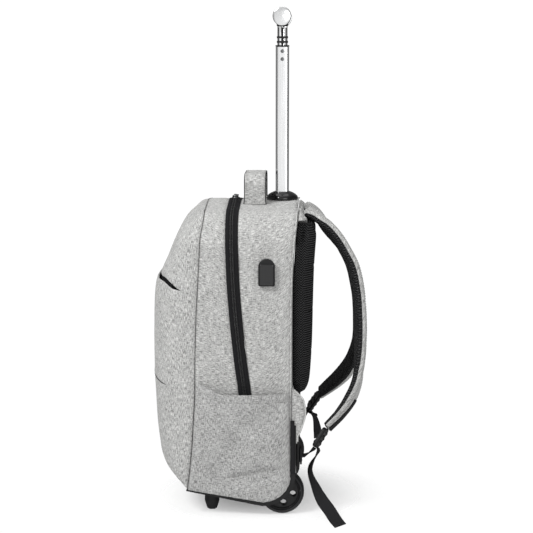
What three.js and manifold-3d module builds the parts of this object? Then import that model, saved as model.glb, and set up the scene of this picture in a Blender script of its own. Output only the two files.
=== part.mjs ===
// A wheeled backpack standing upright: hollow cloth body with side pockets, mesh back pad and two
// padded shoulder straps, on a moulded base with two wheels and two feet, with a two-stage pull
// handle on one central pole. Millimetres, +Z up, the front of the bag faces -Y, the back +Y.
// Heights are measured from the floor and depths from the rear edge of the side cloth.
import * as THREE from 'three';
import { mergeVertices } from 'three/addons/utils/BufferGeometryUtils.js';
import Module from 'manifold-3d';

const wasm = await Module();
wasm.setup();

// Body
const bodyWidth = 304;
const bodyHeight = 492;
const bodyDepth = 150;
const frontBulge = 74;
const crownRise = 8;
const shoulderRadius = 60;
const sideSwell = 3;
const clothWall = 2;
const seamGap = 0.6;
const fitGap = 0.3;
const frontRoundness = 3.3;
const mouthHeight = 383;
const mouthDrop = 16;
const mouthOpening = 5;
const mouthLip = 4;
const mouthTapeWidth = 20;
const mouthTapeDepth = 2.7;
const mouthTapeWall = 1;
const mouthShare = 0.62;

// Zip over the top
const zipWidth = 20;
const zipProud = 1.2;
const sliderLength = 17;
const sliderWidth = 11;
const sliderHeight = 7;
const pullLength = 34;
const pullWidth = 8;
const pullThickness = 2;

// Side pockets
const pocketHeight = 203;
const pocketRise = 17;
const pocketPuff = 10;
const bindingWidth = 7;

// Moulded base
const baseFrontHeight = 43;
const baseRearHeight = 23;
const baseCornerRadius = 47;
const baseRimFront = 3;
const baseRimRear = 7;
const baseBackHeight = 150;
const railWidth = 14;
const railProud = 6.5;
const railRamp = 10;
const railCentreX = 136;
const bossWidth = 34;
const bossRise = 19;

// Wheels and feet
const wheelDiameter = 72;
const wheelWidth = 23;
const wheelCentreX = 129.5;
const wheelCentreY = -13.5;
const tyreDepth = 6.5;
const hubWindowCount = 5;
const hubWindowCircle = 36;
const hubWindowSize = 10;
const axleDiameter = 8;
const wellClearance = 4;
const wellWall = 3;
const footTopDiameter = 24;
const footBottomDiameter = 15.6;
const footTaper = 13;
const footCentreX = 110;
const footCentreY = -128.5;

// Pull handle
const poleY = -15.7;
const outerTubeSize = 22;
const innerTubeSize = 16.6;
const tubeWall = 1.4;
const tubeCorner = 5;
const innerTubeCorner = 3.2;
const slideGap = 0.4;
const tubeGroove = 2.6;
const outerTubeInsert = 42.6;
const innerNeck = 31;
const innerTubeLength = 300;
const collarHeight = 2.4;
const collarLip = 0.4;
const neckRingHeight = 2.2;
const rivetDiameter = 6.4;
const rivetHeight = 0.9;
const rivetSpacing = 13;
const bezelDiameter = 53;
const bezelHeight = 12;
const bezelRound = 11;
const gripHeight = 799.8;
const gripStem = 15;
const gripLength = 124;
const gripDiameter = 27;
const gripCapDiameter = 30;
const gripCapLength = 6;
const gripSocket = 19;
const buttonLength = 26;
const buttonWidth = 10;
const buttonProud = 1.6;
const buttonTravel = 2.5;

// Carry handle on the crown
const carryY = -59.5;
const carryWidth = 36;
const carryThickness = 6;
const carrySpan = 104;
const carryRise = 50;
const carryCorner = 20;

// Back
const padWidth = 252;
const padDrop = 26;
const padBottom = 188;
const padThickness = 34;
const padTaperLow = 14;
const padTaperHigh = 16;
const yokeHeight = 24;
const yokeThickness = 12;
const yokeInset = 10;
const wingTop = 210;
const wingBottom = 120;
const wingReach = 21;
const wingWidth = 20.5;
const wingSkirt = 5;

// Shoulder straps and webbing
const strapWidth = 66;
const strapThickness = 13;
const strapReach = 105;
const webbingWidth = 20;
const webbingThickness = 2;
const lockLength = 36;
const lockWidth = 27;
const lockThickness = 5;
const lockBar = 6;
const lockDroop = 0.3;
const anchorHeight = 97;
const anchorPlate = 26;

// Side port
const portY = -37.8;
const portHeight = 398;
const portWidth = 26.5;
const portLength = 44;
const portThickness = 4;
const portCoverWidth = 22;
const portCoverLength = 33;
const portCoverThickness = 3;

// Depth lines down the side of the body: height is a share of bodyHeight, the others shares of
// bodyDepth, measured from the rear edge towards the front.
const sideLines = [
  { height: 1.05, seam: 0.92, zip: 0.693, rear: -0.065 },
  { height: 0.99, seam: 0.922, zip: 0.693, rear: -0.06 },
  { height: 0.915, seam: 0.953, zip: 0.69, rear: -0.035 },
  { height: 0.78, seam: 0.977, zip: 0.675, rear: -0.005 },
  { height: 0.65, seam: 1.0, zip: 0.643, rear: 0 },
  { height: 0.52, seam: 1.013, zip: 0.598, rear: 0 },
  { height: 0.415, seam: 1.018, zip: 0.552, rear: 0 },
  { height: 0.29, seam: 1.04, zip: 0.51, rear: 0 },
  { height: 0.19, seam: 1.065, zip: 0.48, rear: 0 },
  { height: 0.05, seam: 1.12, zip: 0.46, rear: 0 },
];

// Bulge of the front panels at mid width: height as above, bulge a share of frontBulge.
const frontProfile = [
  { height: 1.0, bulge: 0.0 },
  { height: 0.996, bulge: 0.13 },
  { height: 0.981, bulge: 0.26 },
  { height: 0.955, bulge: 0.44 },
  { height: 0.9, bulge: 0.62 },
  { height: 0.848, bulge: 0.755 },
  { height: 0.79, bulge: 0.9 },
  { height: 0.74, bulge: 0.97 },
  { height: 0.65, bulge: 1.0 },
  { height: 0.5, bulge: 1.0 },
  { height: 0.345, bulge: 0.93 },
  { height: 0.21, bulge: 0.78 },
  { height: 0.16, bulge: 0.64 },
  { height: 0.118, bulge: 0.36 },
  { height: 0.098, bulge: 0.16 },
  { height: 0.08, bulge: 0.0 },
];

// Thickness of the back pad down its height: up is a share of the pad's height, thick of padThickness.
const padProfile = [
  { up: 0, thick: 0.62 },
  { up: 0.02, thick: 0.75 },
  { up: 0.1, thick: 0.84 },
  { up: 0.35, thick: 0.955 },
  { up: 0.6, thick: 0.99 },
  { up: 0.75, thick: 1 },
  { up: 0.94, thick: 0.88 },
  { up: 0.985, thick: 0.76 },
  { up: 1, thick: 0.5 },
];

// Outline of the wing seen from the side: up from wingBottom to wingTop, out a share of wingReach.
const wingOutline = [
  { up: 0.0, out: 0.0 },
  { up: 0.24, out: 0.66 },
  { up: 0.52, out: 1.0 },
  { up: 0.76, out: 0.9 },
  { up: 1.0, out: 0.0 },
];

// Centre lines of the shoulder straps. height: share of bodyHeight. back: share of strapReach.
// side: share of half the body width. wide and thick: shares of the strap's sizes. turn: degrees
// by which the outer edge swings away from the bag.
const rightStrapLine = [
  { height: 0.977, back: 0.116, side: 0.36, wide: 0.9, thick: 0.5, turn: 0 },
  { height: 0.99, back: 0.185, side: 0.37, wide: 0.95, thick: 0.7, turn: 0 },
  { height: 0.986, back: 0.25, side: 0.385, wide: 1, thick: 0.9, turn: 1 },
  { height: 0.961, back: 0.33, side: 0.4, wide: 1, thick: 1, turn: 2 },
  { height: 0.937, back: 0.461, side: 0.415, wide: 1, thick: 1, turn: 3 },
  { height: 0.886, back: 0.64, side: 0.44, wide: 1, thick: 1, turn: 6 },
  { height: 0.836, back: 0.768, side: 0.465, wide: 1, thick: 1, turn: 8 },
  { height: 0.737, back: 0.89, side: 0.52, wide: 1, thick: 1, turn: 9 },
  { height: 0.652, back: 0.937, side: 0.57, wide: 1, thick: 1, turn: 9 },
  { height: 0.558, back: 0.965, side: 0.625, wide: 1, thick: 1, turn: 7 },
  { height: 0.481, back: 0.99, side: 0.675, wide: 1, thick: 1, turn: 3 },
  { height: 0.431, back: 0.963, side: 0.715, wide: 0.96, thick: 1, turn: -3 },
  { height: 0.383, back: 0.876, side: 0.755, wide: 0.86, thick: 0.95, turn: -8 },
  { height: 0.334, back: 0.714, side: 0.8, wide: 0.7, thick: 0.8, turn: -10 },
  { height: 0.283, back: 0.449, side: 0.85, wide: 0.5, thick: 0.6, turn: -8 },
];
const leftStrapLine = [
  ...rightStrapLine.slice(0, 10),
  { height: 0.472, back: 0.981, side: 0.67, wide: 1, thick: 1, turn: 0 },
  { height: 0.425, back: 0.924, side: 0.71, wide: 0.96, thick: 1, turn: -5 },
  { height: 0.383, back: 0.819, side: 0.745, wide: 0.88, thick: 0.95, turn: -10 },
  { height: 0.342, back: 0.657, side: 0.78, wide: 0.74, thick: 0.85, turn: -12 },
  { height: 0.308, back: 0.485, side: 0.815, wide: 0.6, thick: 0.7, turn: -10 },
  { height: 0.286, back: 0.37, side: 0.84, wide: 0.5, thick: 0.6, turn: -8 },
];

// Free webbing ends below the lock. height: share of bodyHeight. back: share of strapReach.
// side: share of half the body width. face: degrees by which the webbing turns to face outwards.
const rightTailLine = [
  { height: 0.146, back: 0.195, side: 0.88, face: 20 },
  { height: 0.09, back: 0.289, side: 0.95, face: 45 },
  { height: 0.058, back: 0.379, side: 1.03, face: 58 },
  { height: 0.035, back: 0.487, side: 1.14, face: 64 },
  { height: 0.016, back: 0.58, side: 1.28, face: 68 },
  { height: 0.007, back: 0.648, side: 1.38, face: 72 },
];
const leftTailLine = [
  { height: 0.198, back: 0.275, side: 0.845, face: 15 },
  { height: 0.151, back: 0.322, side: 0.85, face: 40 },
  { height: 0.119, back: 0.337, side: 0.855, face: 45 },
];

const halfWidth = bodyWidth / 2;
const padTop = bodyHeight - padDrop;
const outerTubeTop = gripHeight - gripStem - innerNeck - collarHeight;
const wheelRadius = wheelDiameter / 2;
const shoulderHeight = bodyHeight - shoulderRadius;
const guideInner = outerTubeSize + 2 * slideGap;
const guideOuter = guideInner + 2 * tubeWall;

const greyCloth = new THREE.MeshStandardMaterial({ color: 0xb4b4b1, roughness: 0.95 });
const blackMesh = new THREE.MeshStandardMaterial({ color: 0x1f1f20, roughness: 0.9 });
const blackWebbing = new THREE.MeshStandardMaterial({ color: 0x222223, roughness: 0.85 });
const zipTape = new THREE.MeshStandardMaterial({ color: 0x29292a, roughness: 0.75 });
const blackPlastic = new THREE.MeshStandardMaterial({ color: 0x1b1b1c, roughness: 0.5 });
const glossPlastic = new THREE.MeshStandardMaterial({ color: 0x0e0e0f, roughness: 0.15 });
const tyreRubber = new THREE.MeshStandardMaterial({ color: 0x2c2d2f, roughness: 0.7 });
const aluminium = new THREE.MeshStandardMaterial({ color: 0xc9cacb, roughness: 0.3, metalness: 1 });
const darkSteel = new THREE.MeshStandardMaterial({ color: 0x5b5c5e, roughness: 0.4, metalness: 1 });
const chrome = new THREE.MeshStandardMaterial({ color: 0xd8d9da, roughness: 0.12, metalness: 1 });

const bag = new THREE.Group();
const lerp = THREE.MathUtils.lerp;
const clamp = THREE.MathUtils.clamp;
const smooth = (value, low, high) => THREE.MathUtils.smoothstep(value, low, high);

function addPiece(name, geometry, material) {
  const mesh = new THREE.Mesh(geometry, material);
  mesh.name = name;
  bag.add(mesh);
  return mesh;
}

// Straight-line value of one column of a table at a place given by another column
function tableValue(table, key, value, column) {
  const rows = table[0][key] <= table[table.length - 1][key] ? table : [...table].reverse();
  if (value <= rows[0][key]) return rows[0][column];
  for (let i = 1; i < rows.length; i++) {
    if (value <= rows[i][key]) {
      const share = (value - rows[i - 1][key]) / (rows[i][key] - rows[i - 1][key]);
      return lerp(rows[i - 1][column], rows[i][column], share);
    }
  }
  return rows[rows.length - 1][column];
}

// Closed geometry from points and triangles, with its faces turned outwards
function solidGeometry(points, faces) {
  const positions = points.flatMap((point) => [point.x, point.y, point.z]);
  let volume = 0;
  for (const [a, b, c] of faces) {
    volume += points[a].dot(new THREE.Vector3().crossVectors(points[b], points[c]));
  }
  const turned = volume < 0 ? faces.map(([a, b, c]) => [a, c, b]) : faces;
  const geometry = new THREE.BufferGeometry();
  geometry.setAttribute('position', new THREE.Float32BufferAttribute(positions, 3));
  geometry.setIndex(turned.flat());
  geometry.computeVertexNormals();
  return geometry;
}

// Solid between two matching grids of points, joined round their rim
function layeredSolid(front, back, across, along) {
  const points = [];
  const faces = [];
  const index = (layer, i, j) => (layer * (across + 1) + i) * (along + 1) + j;
  for (const layer of [front, back]) {
    for (let i = 0; i <= across; i++) {
      for (let j = 0; j <= along; j++) points.push(layer(i / across, j / along));
    }
  }
  const addQuad = (a, b, c, d) => faces.push([a, b, c], [a, c, d]);
  for (let i = 0; i < across; i++) {
    for (let j = 0; j < along; j++) {
      addQuad(index(0, i, j), index(0, i + 1, j), index(0, i + 1, j + 1), index(0, i, j + 1));
      addQuad(index(1, i, j), index(1, i, j + 1), index(1, i + 1, j + 1), index(1, i + 1, j));
    }
    addQuad(index(0, i + 1, 0), index(0, i, 0), index(1, i, 0), index(1, i + 1, 0));
    addQuad(index(0, i, along), index(0, i + 1, along), index(1, i + 1, along), index(1, i, along));
  }
  for (let j = 0; j < along; j++) {
    addQuad(index(0, 0, j), index(0, 0, j + 1), index(1, 0, j + 1), index(1, 0, j));
    addQuad(index(0, across, j + 1), index(0, across, j), index(1, across, j), index(1, across, j + 1));
  }
  return solidGeometry(points, faces);
}

// Cloth of even thickness under a surface whose normal (first by second parameter) points outwards
function clothSheet(surface, across, along, wall = clothWall, trim = (point) => point) {
  const step = 1e-3;
  const under = (u, v) => {
    const alongU = surface(Math.min(u + step, 1), v).sub(surface(Math.max(u - step, 0), v));
    const alongV = surface(u, Math.min(v + step, 1)).sub(surface(u, Math.max(v - step, 0)));
    const normal = alongU.cross(alongV).normalize();
    return trim(surface(u, v).addScaledVector(normal, -wall));
  };
  return layeredSolid(surface, under, across, along);
}

// Rings of points joined in order, with flat ends
function loftedSolid(rings) {
  const count = rings[0].length;
  const points = rings.flat();
  const faces = [];
  for (let i = 0; i < rings.length - 1; i++) {
    for (let j = 0; j < count; j++) {
      const next = (j + 1) % count;
      faces.push([i * count + j, i * count + next, (i + 1) * count + next]);
      faces.push([i * count + j, (i + 1) * count + next, (i + 1) * count + j]);
    }
  }
  const last = (rings.length - 1) * count;
  for (let j = 1; j < count - 1; j++) {
    faces.push([0, j + 1, j]);
    faces.push([last, last + j, last + j + 1]);
  }
  return solidGeometry(points, faces);
}

// Shapes for extrusion
function roundedRectangle(width, height, radius) {
  const shape = new THREE.Shape();
  const [w, h] = [width / 2, height / 2];
  shape.moveTo(-w + radius, -h);
  shape.lineTo(w - radius, -h);
  shape.absarc(w - radius, -h + radius, radius, -Math.PI / 2, 0);
  shape.lineTo(w, h - radius);
  shape.absarc(w - radius, h - radius, radius, 0, Math.PI / 2);
  shape.lineTo(-w + radius, h);
  shape.absarc(-w + radius, h - radius, radius, Math.PI / 2, Math.PI);
  shape.lineTo(-w, -h + radius);
  shape.absarc(-w + radius, -h + radius, radius, Math.PI, Math.PI * 1.5);
  return shape;
}

function extruded(shape, depth, curveSegments = 4) {
  return new THREE.ExtrudeGeometry(shape, { depth, bevelEnabled: false, curveSegments });
}

function bevelled(shape, depth, bevel) {
  const settings = { depth: depth - 2 * bevel, bevelEnabled: true, bevelSize: bevel, curveSegments: 2 };
  const geometry = new THREE.ExtrudeGeometry(shape, {
    ...settings, bevelThickness: bevel, bevelOffset: -bevel, bevelSegments: 1,
  });
  return geometry.translate(0, 0, bevel);
}

// Extrudes a shape drawn in depth (y) and height (z) from one X to another
function extrudedAcross(shape, fromX, toX, curveSegments = 6) {
  const geometry = extruded(shape, toX - fromX, curveSegments);
  geometry.applyMatrix4(new THREE.Matrix4().makeBasis(
    new THREE.Vector3(0, 1, 0), new THREE.Vector3(0, 0, 1), new THREE.Vector3(1, 0, 0)));
  return geometry.translate(fromX, 0, 0);
}

function shapeFrom(points) {
  return new THREE.Shape(points.map(([y, z]) => new THREE.Vector2(y, z)));
}

// Boolean joins and cuts
function toManifold(geometry) {
  const plain = geometry.clone();
  plain.deleteAttribute('normal');
  plain.deleteAttribute('uv');
  const merged = mergeVertices(plain, 1e-4);
  return new wasm.Manifold(new wasm.Mesh({
    numProp: 3,
    vertProperties: new Float32Array(merged.attributes.position.array),
    triVerts: new Uint32Array(merged.index.array),
  }));
}

function fromManifold(solid) {
  const mesh = solid.getMesh();
  const geometry = new THREE.BufferGeometry();
  geometry.setAttribute('position', new THREE.BufferAttribute(new Float32Array(mesh.vertProperties), 3));
  geometry.setIndex(new THREE.BufferAttribute(new Uint32Array(mesh.triVerts), 1));
  geometry.computeVertexNormals();
  return geometry;
}

// Outline of the body
const seamAt = (z) => -bodyDepth * tableValue(sideLines, 'height', z / bodyHeight, 'seam');
const zipFrontAt = (z) => -bodyDepth * tableValue(sideLines, 'height', z / bodyHeight, 'zip');
const zipRearAt = (z) => zipFrontAt(z) + zipWidth;
const rearAt = (z) => -bodyDepth * tableValue(sideLines, 'height', z / bodyHeight, 'rear');

// Half width of the arch at a height, with the soft swell of the sides
function halfWidthAt(z, y) {
  const rise = clamp((z - shoulderHeight) / shoulderRadius, 0, 1);
  const arch = halfWidth - shoulderRadius + shoulderRadius * Math.sqrt(1 - rise * rise);
  const lift = clamp((z - baseFrontHeight) / (shoulderHeight - baseFrontHeight), 0, 1);
  const inward = smooth(-y, 0, bodyDepth * 0.45);
  return arch + sideSwell * Math.sin(Math.PI * lift) * inward;
}

const crownAt = (x) => crownRise * (1 - clamp(x / (halfWidth - shoulderRadius), -1, 1) ** 2);

// Upper edge of the moulded base under the cloth: sloping floor, then the round rear corner
const cornerY = rearAt(0) + clothWall - baseCornerRadius;
const cornerZ = baseRearHeight + baseCornerRadius;
const baseFrontY = seamAt(baseFrontHeight) - clothWall;
const kickBack = cornerY + baseCornerRadius + baseRimRear;
const bossTop = baseFrontHeight + bossRise;

function baseLineAt(y) {
  if (y <= cornerY) {
    return lerp(baseFrontHeight, baseRearHeight, floorShareAt(y));
  }
  const reach = Math.min(y - cornerY, baseCornerRadius);
  return cornerZ - Math.sqrt(baseCornerRadius ** 2 - reach ** 2);
}

// Thickness of the moulded floor below that edge
const floorShareAt = (y) => clamp((y - baseFrontY) / (cornerY - baseFrontY), 0, 1);
const rimAt = (y) => lerp(baseRimFront, baseRimRear, floorShareAt(y));

// A point of the arched side and top cloth: along runs from the right foot of the arch over the
// crown to the left foot, depthAt gives the depth line for a height.
function archPoint(along, depthAt, proud = 0) {
  const side = along <= 0.5 ? 1 : -1;
  const half = 1 - Math.abs(along - 0.5) * 2;
  const wall = 0.55;
  const bend = 0.85;
  if (half <= wall) {
    let z = lerp(baseFrontHeight, shoulderHeight, half / wall);
    for (let pass = 0; pass < 3; pass++) {
      z = lerp(baseLineAt(depthAt(z)) + 2 * seamGap, shoulderHeight, half / wall);
    }
    const y = depthAt(z);
    return new THREE.Vector3(side * (halfWidthAt(z, y) + proud), y, z);
  }
  if (half <= bend) {
    const angle = (half - wall) / (bend - wall) * Math.PI / 2;
    const radius = shoulderRadius + proud;
    const x = halfWidth - shoulderRadius + radius * Math.cos(angle);
    const z = shoulderHeight + radius * Math.sin(angle);
    return new THREE.Vector3(side * x, depthAt(shoulderHeight + shoulderRadius * Math.sin(angle)), z);
  }
  const x = (halfWidth - shoulderRadius) * (1 - (half - bend) / (1 - bend));
  return new THREE.Vector3(side * x, depthAt(bodyHeight), bodyHeight + crownAt(x) + proud);
}

function archBand(frontLine, rearLine, across, proud = 0, wall = clothWall) {
  const surface = (u, v) => archPoint(v, (z) => lerp(frontLine(z), rearLine(z), u), proud);
  return clothSheet(surface, across, 24, wall);
}

// A point of the front panels: turn runs round the section from the right seam over the front to
// the left seam, z is the height.
function frontPoint(turn, z, lip = 0) {
  const height = Math.min(z / bodyHeight, 1);
  const bulge = frontBulge * tableValue(frontProfile, 'height', height, 'bulge') + lip;
  const seam = seamAt(z) - seamGap;
  const angle = turn * Math.PI;
  const power = 2 / frontRoundness;
  const x = halfWidthAt(z, seam) * Math.sign(Math.cos(angle)) * Math.abs(Math.cos(angle)) ** power;
  const y = seam - bulge * Math.abs(Math.sin(angle)) ** power;
  const lifted = smooth(z, shoulderHeight, bodyHeight) * crownAt(x);
  return new THREE.Vector3(x, y, z + lifted);
}

// The pocket mouth drops and closes towards the sides
const mouthAt = (turn) => mouthHeight - mouthDrop * (1 - smooth(Math.sin(turn * Math.PI), 0.2, 0.75));
const mouthGapAt = (turn) => {
  const half = Math.abs(turn - 0.5) * 2;
  return fitGap + mouthOpening * (1 - smooth(half, mouthShare, mouthShare + 0.14));
};

function buildFrontPanels() {
  const turnSteps = 14;
  const behindSeam = (point) => point.setY(Math.min(point.y, seamAt(point.z) - seamGap));
  const panel = (surface, rows) => clothSheet(surface, turnSteps, rows, clothWall, behindSeam);
  const upper = (u, v) => {
    const low = mouthAt(u) + mouthGapAt(u) / 2;
    const rows = 1 - (1 - v) ** 1.8;
    return frontPoint(u, lerp(bodyHeight, low, 1 - Math.sqrt(1 - rows)));
  };
  addPiece('front_upper_panel', panel((u, v) => upper(1 - u, v), 8), greyCloth);

  const lower = (u, v) => {
    const high = mouthAt(u) - mouthGapAt(u) / 2;
    const z = lerp(baseFrontHeight + fitGap, high, v);
    const open = mouthGapAt(u) > fitGap ? smooth(mouthGapAt(u), fitGap, mouthOpening) : 0;
    return frontPoint(u, z, mouthLip * open * smooth(v, 0.75, 1));
  };
  addPiece('front_lower_panel', panel(lower, 9), greyCloth);

  // Dark zip tape behind the open mouth
  const tape = (u, v) => {
    const turn = lerp(0.5 - mouthShare / 2, 0.5 + mouthShare / 2, u);
    const z = mouthAt(turn) + lerp(-mouthTapeWidth / 2, mouthTapeWidth / 2, v);
    return frontPoint(turn, z, -clothWall - mouthTapeDepth);
  };
  addPiece('front_zip_tape', clothSheet(tape, 14, 1, mouthTapeWall), zipTape);
}

function buildGusset() {
  addPiece('gusset_front', archBand(seamAt, (z) => zipFrontAt(z) - fitGap, 1), greyCloth);
  addPiece('zip_tape', archBand(zipFrontAt, zipRearAt, 1, zipProud), zipTape);
  const rear = toManifold(archBand((z) => zipRearAt(z) + fitGap, rearAt, 2));
  const holeSize = guideOuter + 2 * fitGap;
  const hole = extruded(roundedRectangle(holeSize, holeSize, tubeCorner), clothWall * 10, 3);
  hole.translate(0, poleY, bodyHeight - clothWall * 4);
  addPiece('gusset_rear', fromManifold(rear.subtract(toManifold(hole))), greyCloth);
}

// Slider and its pull lie on the tape just left of the crown
function buildZipSlider() {
  const topZ = bodyHeight + crownRise + zipProud + fitGap;
  const midY = (zipFrontAt(bodyHeight) + zipRearAt(bodyHeight)) / 2;
  const slider = bevelled(roundedRectangle(sliderLength, sliderWidth, 4), sliderHeight, 1.5);
  addPiece('zip_slider', slider.translate(0, midY, topZ), darkSteel);
  const pull = bevelled(roundedRectangle(pullLength, pullWidth, 3), pullThickness, 0.5);
  const pullX = -sliderLength / 2 - fitGap - pullLength / 2;
  addPiece('zip_pull', pull.translate(pullX, midY, topZ + 0.5), blackPlastic);
}

// Cloth pocket on each side, from the front seam to the rear edge, open at its top edge
function buildSidePocket(side, name) {
  const frontLine = (z) => seamAt(z) + 1;
  const rearLine = (z) => rearAt(z) - 1;
  const surface = (u, v) => {
    const slope = pocketRise * smooth(1 - u, 0.68, 1);
    let z = lerp(baseFrontHeight, pocketHeight + slope, v);
    let y = 0;
    for (let pass = 0; pass < 3; pass++) {
      y = lerp(frontLine(z), rearLine(z), u);
      z = lerp(baseLineAt(y) + fitGap, pocketHeight + slope, v);
    }
    const spread = (4 * u * (1 - u)) ** 0.7;
    const puff = pocketPuff * spread * Math.sin(Math.PI / 2 * Math.min(v * 1.35, 1));
    return new THREE.Vector3(side * (halfWidthAt(z, y) + zipProud + fitGap + clothWall + puff), y, z);
  };
  const turned = side > 0 ? surface : (u, v) => surface(1 - u, v);
  addPiece('side_pocket_' + name, clothSheet(turned, 9, 7), greyCloth);

  const binding = (u, v) => {
    const z = lerp(cornerZ, pocketHeight * 0.78, v);
    const y = lerp(rearAt(z) + fitGap, rearAt(z) + bindingWidth, u);
    return new THREE.Vector3(side * (halfWidth + clothWall), y, z);
  };
  const edge = side > 0 ? binding : (u, v) => binding(1 - u, v);
  addPiece('pocket_binding_' + name, clothSheet(edge, 1, 3), blackWebbing);
}

// Back wall of the body, behind the rear edge of the side cloth
const backFaceAt = (z) => rearAt(z) + seamGap + clothWall;

function buildBackPanel() {
  const low = Math.max(cornerZ, wheelRadius * 2 + wellClearance + wellWall) + fitGap;
  const surface = (u, v) => {
    const z = lerp(low, bodyHeight, Math.sqrt(1 - (1 - v) ** 2));
    const x = lerp(1, -1, u) * halfWidthAt(z, 0);
    const lifted = smooth(z, shoulderHeight, bodyHeight) * crownAt(x);
    return new THREE.Vector3(x, backFaceAt(z), z + lifted);
  };
  addPiece('back_panel', clothSheet(surface, 8, 8), greyCloth);
}

// Padded pieces on the back: a closed pad whose section swells from a flat face
function backPadSolid(low, high, halfWidthOf, depthOf, across, along) {
  const base = (u, v) => {
    const z = lerp(low, high, v);
    return new THREE.Vector3(lerp(-1, 1, u) * halfWidthOf(v), backFaceAt(z) + 3 * fitGap, z);
  };
  const face = (u, v) => {
    const point = base(u, v);
    const spread = (1 - Math.abs(2 * u - 1) ** 8) * 0.6 + 0.4;
    point.y += depthOf(v) * spread;
    return point;
  };
  return layeredSolid(face, base, across, along);
}

function buildBack() {
  const padHalf = (v) => padWidth / 2
    - padTaperLow * (1 - smooth(v, 0, 0.08)) - padTaperHigh * smooth(v, 0.92, 1);
  const padDepth = (v) => padThickness * tableValue(padProfile, 'up', v, 'thick');
  addPiece('back_pad', backPadSolid(padBottom, padTop, padHalf, padDepth, 8, 12), blackMesh);

  const yokeHalf = (v) => halfWidthAt(lerp(padTop, bodyHeight, v), 0) - yokeInset;
  const yokeDepth = (v) => yokeThickness * (1 - 0.72 * v);
  const yokeLow = padTop + fitGap;
  const yoke = backPadSolid(yokeLow, yokeLow + yokeHeight, yokeHalf, yokeDepth, 8, 3);
  addPiece('back_yoke', yoke, greyCloth);
}

// Cloth wing outside each lower corner of the pad, from which the webbing is drawn. Its skirt
// hangs over the kick plate, outside the rail.
function buildWing(side, name) {
  const outerX = halfWidth - 2;
  const rings = [];
  const addRing = (z, innerX, face) => {
    const up = (z - wingBottom) / (wingTop - wingBottom);
    const back = backFaceAt(z) + wingReach * tableValue(wingOutline, 'up', up, 'out');
    const out = Math.max(back, face + clothWall);
    const point = (x, y) => new THREE.Vector3(side * x, y, z);
    rings.push([point(innerX, face), point(outerX, face), point(outerX, lerp(face, out, 0.8)),
      point(lerp(outerX, innerX, 0.35), out), point(innerX, lerp(face, out, 0.7))]);
  };
  const skirtTop = baseBackHeight + fitGap;
  for (let i = 0; i <= 3; i++) {
    addRing(lerp(wingBottom, skirtTop, i / 3), outerX - wingSkirt, kickBack + fitGap);
  }
  for (let i = 0; i <= 5; i++) {
    addRing(lerp(skirtTop + clothWall, wingTop, i / 5), outerX - wingWidth, backFaceAt(wingTop) + fitGap);
  }
  addPiece('wing_' + name, loftedSolid(rings), greyCloth);
}

// Moulded base: sloping floor, round rear corner, kick plate, wheel wells and the pole's boss
function buildBase() {
  const upper = [];
  const lower = [];
  const floorSteps = 3;
  const arcSteps = 8;
  for (let i = 0; i < floorSteps; i++) {
    const y = lerp(baseFrontY, cornerY, i / floorSteps);
    upper.push([y, baseLineAt(y)]);
    lower.push([y, baseLineAt(y) - rimAt(y)]);
  }
  for (let i = 0; i <= arcSteps; i++) {
    const angle = -Math.PI / 2 + i / arcSteps * Math.PI / 2;
    const around = (radius) => [cornerY + radius * Math.cos(angle), cornerZ + radius * Math.sin(angle)];
    upper.push(around(baseCornerRadius));
    lower.push(around(baseCornerRadius + baseRimRear));
  }
  const kickFront = Math.max(cornerY + baseCornerRadius, backFaceAt(cornerZ) + fitGap);
  const innerLine = [...upper, [kickFront, cornerZ], [kickFront, baseBackHeight]];
  const outerLine = [...lower, [kickBack, cornerZ], [kickBack, baseBackHeight]];
  const tray = shapeFrom([...outerLine, ...innerLine.reverse()]);
  const trayHalf = halfWidth - 1;
  let solid = toManifold(extrudedAcross(tray, -trayHalf, trayHalf));

  const insideShape = shapeFrom([...outerLine, [baseFrontY, baseBackHeight]]);
  const wellRadius = wheelRadius + wellClearance;
  const hingeZ = wheelRadius;
  const disc = (radius, fromX, toX) => {
    const shape = new THREE.Shape();
    shape.absarc(wheelCentreY, hingeZ, radius, 0, Math.PI * 2);
    return toManifold(extrudedAcross(shape, fromX, toX, radius > wheelRadius ? 12 : 6));
  };
  const wellHalf = wheelWidth / 2 + wellClearance;
  for (const side of [1, -1]) {
    const near = side * wheelCentreX - wellHalf;
    const far = side * wheelCentreX + wellHalf;
    const insideBody = toManifold(extrudedAcross(insideShape, near - wellWall, far + wellWall));
    const shellDisc = disc(wellRadius + wellWall, near - wellWall, far + wellWall);
    solid = solid.add(shellDisc.intersect(insideBody)).subtract(disc(wellRadius, near, far));
    const boreRadius = axleDiameter / 2 + fitGap;
    solid = solid.subtract(disc(boreRadius, near - wellWall - 1, far + wellWall + 1));
  }
  const bossLow = baseLineAt(poleY);
  const boss = extrudedAcross(shapeFrom([
    [poleY - bossWidth / 2, bossLow - 4], [poleY + bossWidth / 2 - 6, bossLow - 4],
    [poleY + bossWidth / 2 - 6, bossTop], [poleY - bossWidth / 2, bossTop],
  ]), -bossWidth / 2, bossWidth / 2);
  const insideAll = toManifold(extrudedAcross(insideShape, -trayHalf, trayHalf));
  solid = solid.add(toManifold(boss).intersect(insideAll));
  addPiece('base_tray', fromManifold(solid), blackPlastic);

  for (const [side, name] of [[1, 'right'], [-1, 'left']]) {
    const railX = side * railCentreX - railWidth / 2;
    const rail = shapeFrom([
      [kickBack + fitGap, cornerZ - 4], [kickBack + railProud, cornerZ - 4 + railRamp],
      [kickBack + railProud, baseBackHeight - railRamp], [kickBack + fitGap, baseBackHeight - 4],
    ]);
    addPiece('rear_rail_' + name, extrudedAcross(rail, railX, railX + railWidth), blackPlastic);
  }
}

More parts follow.
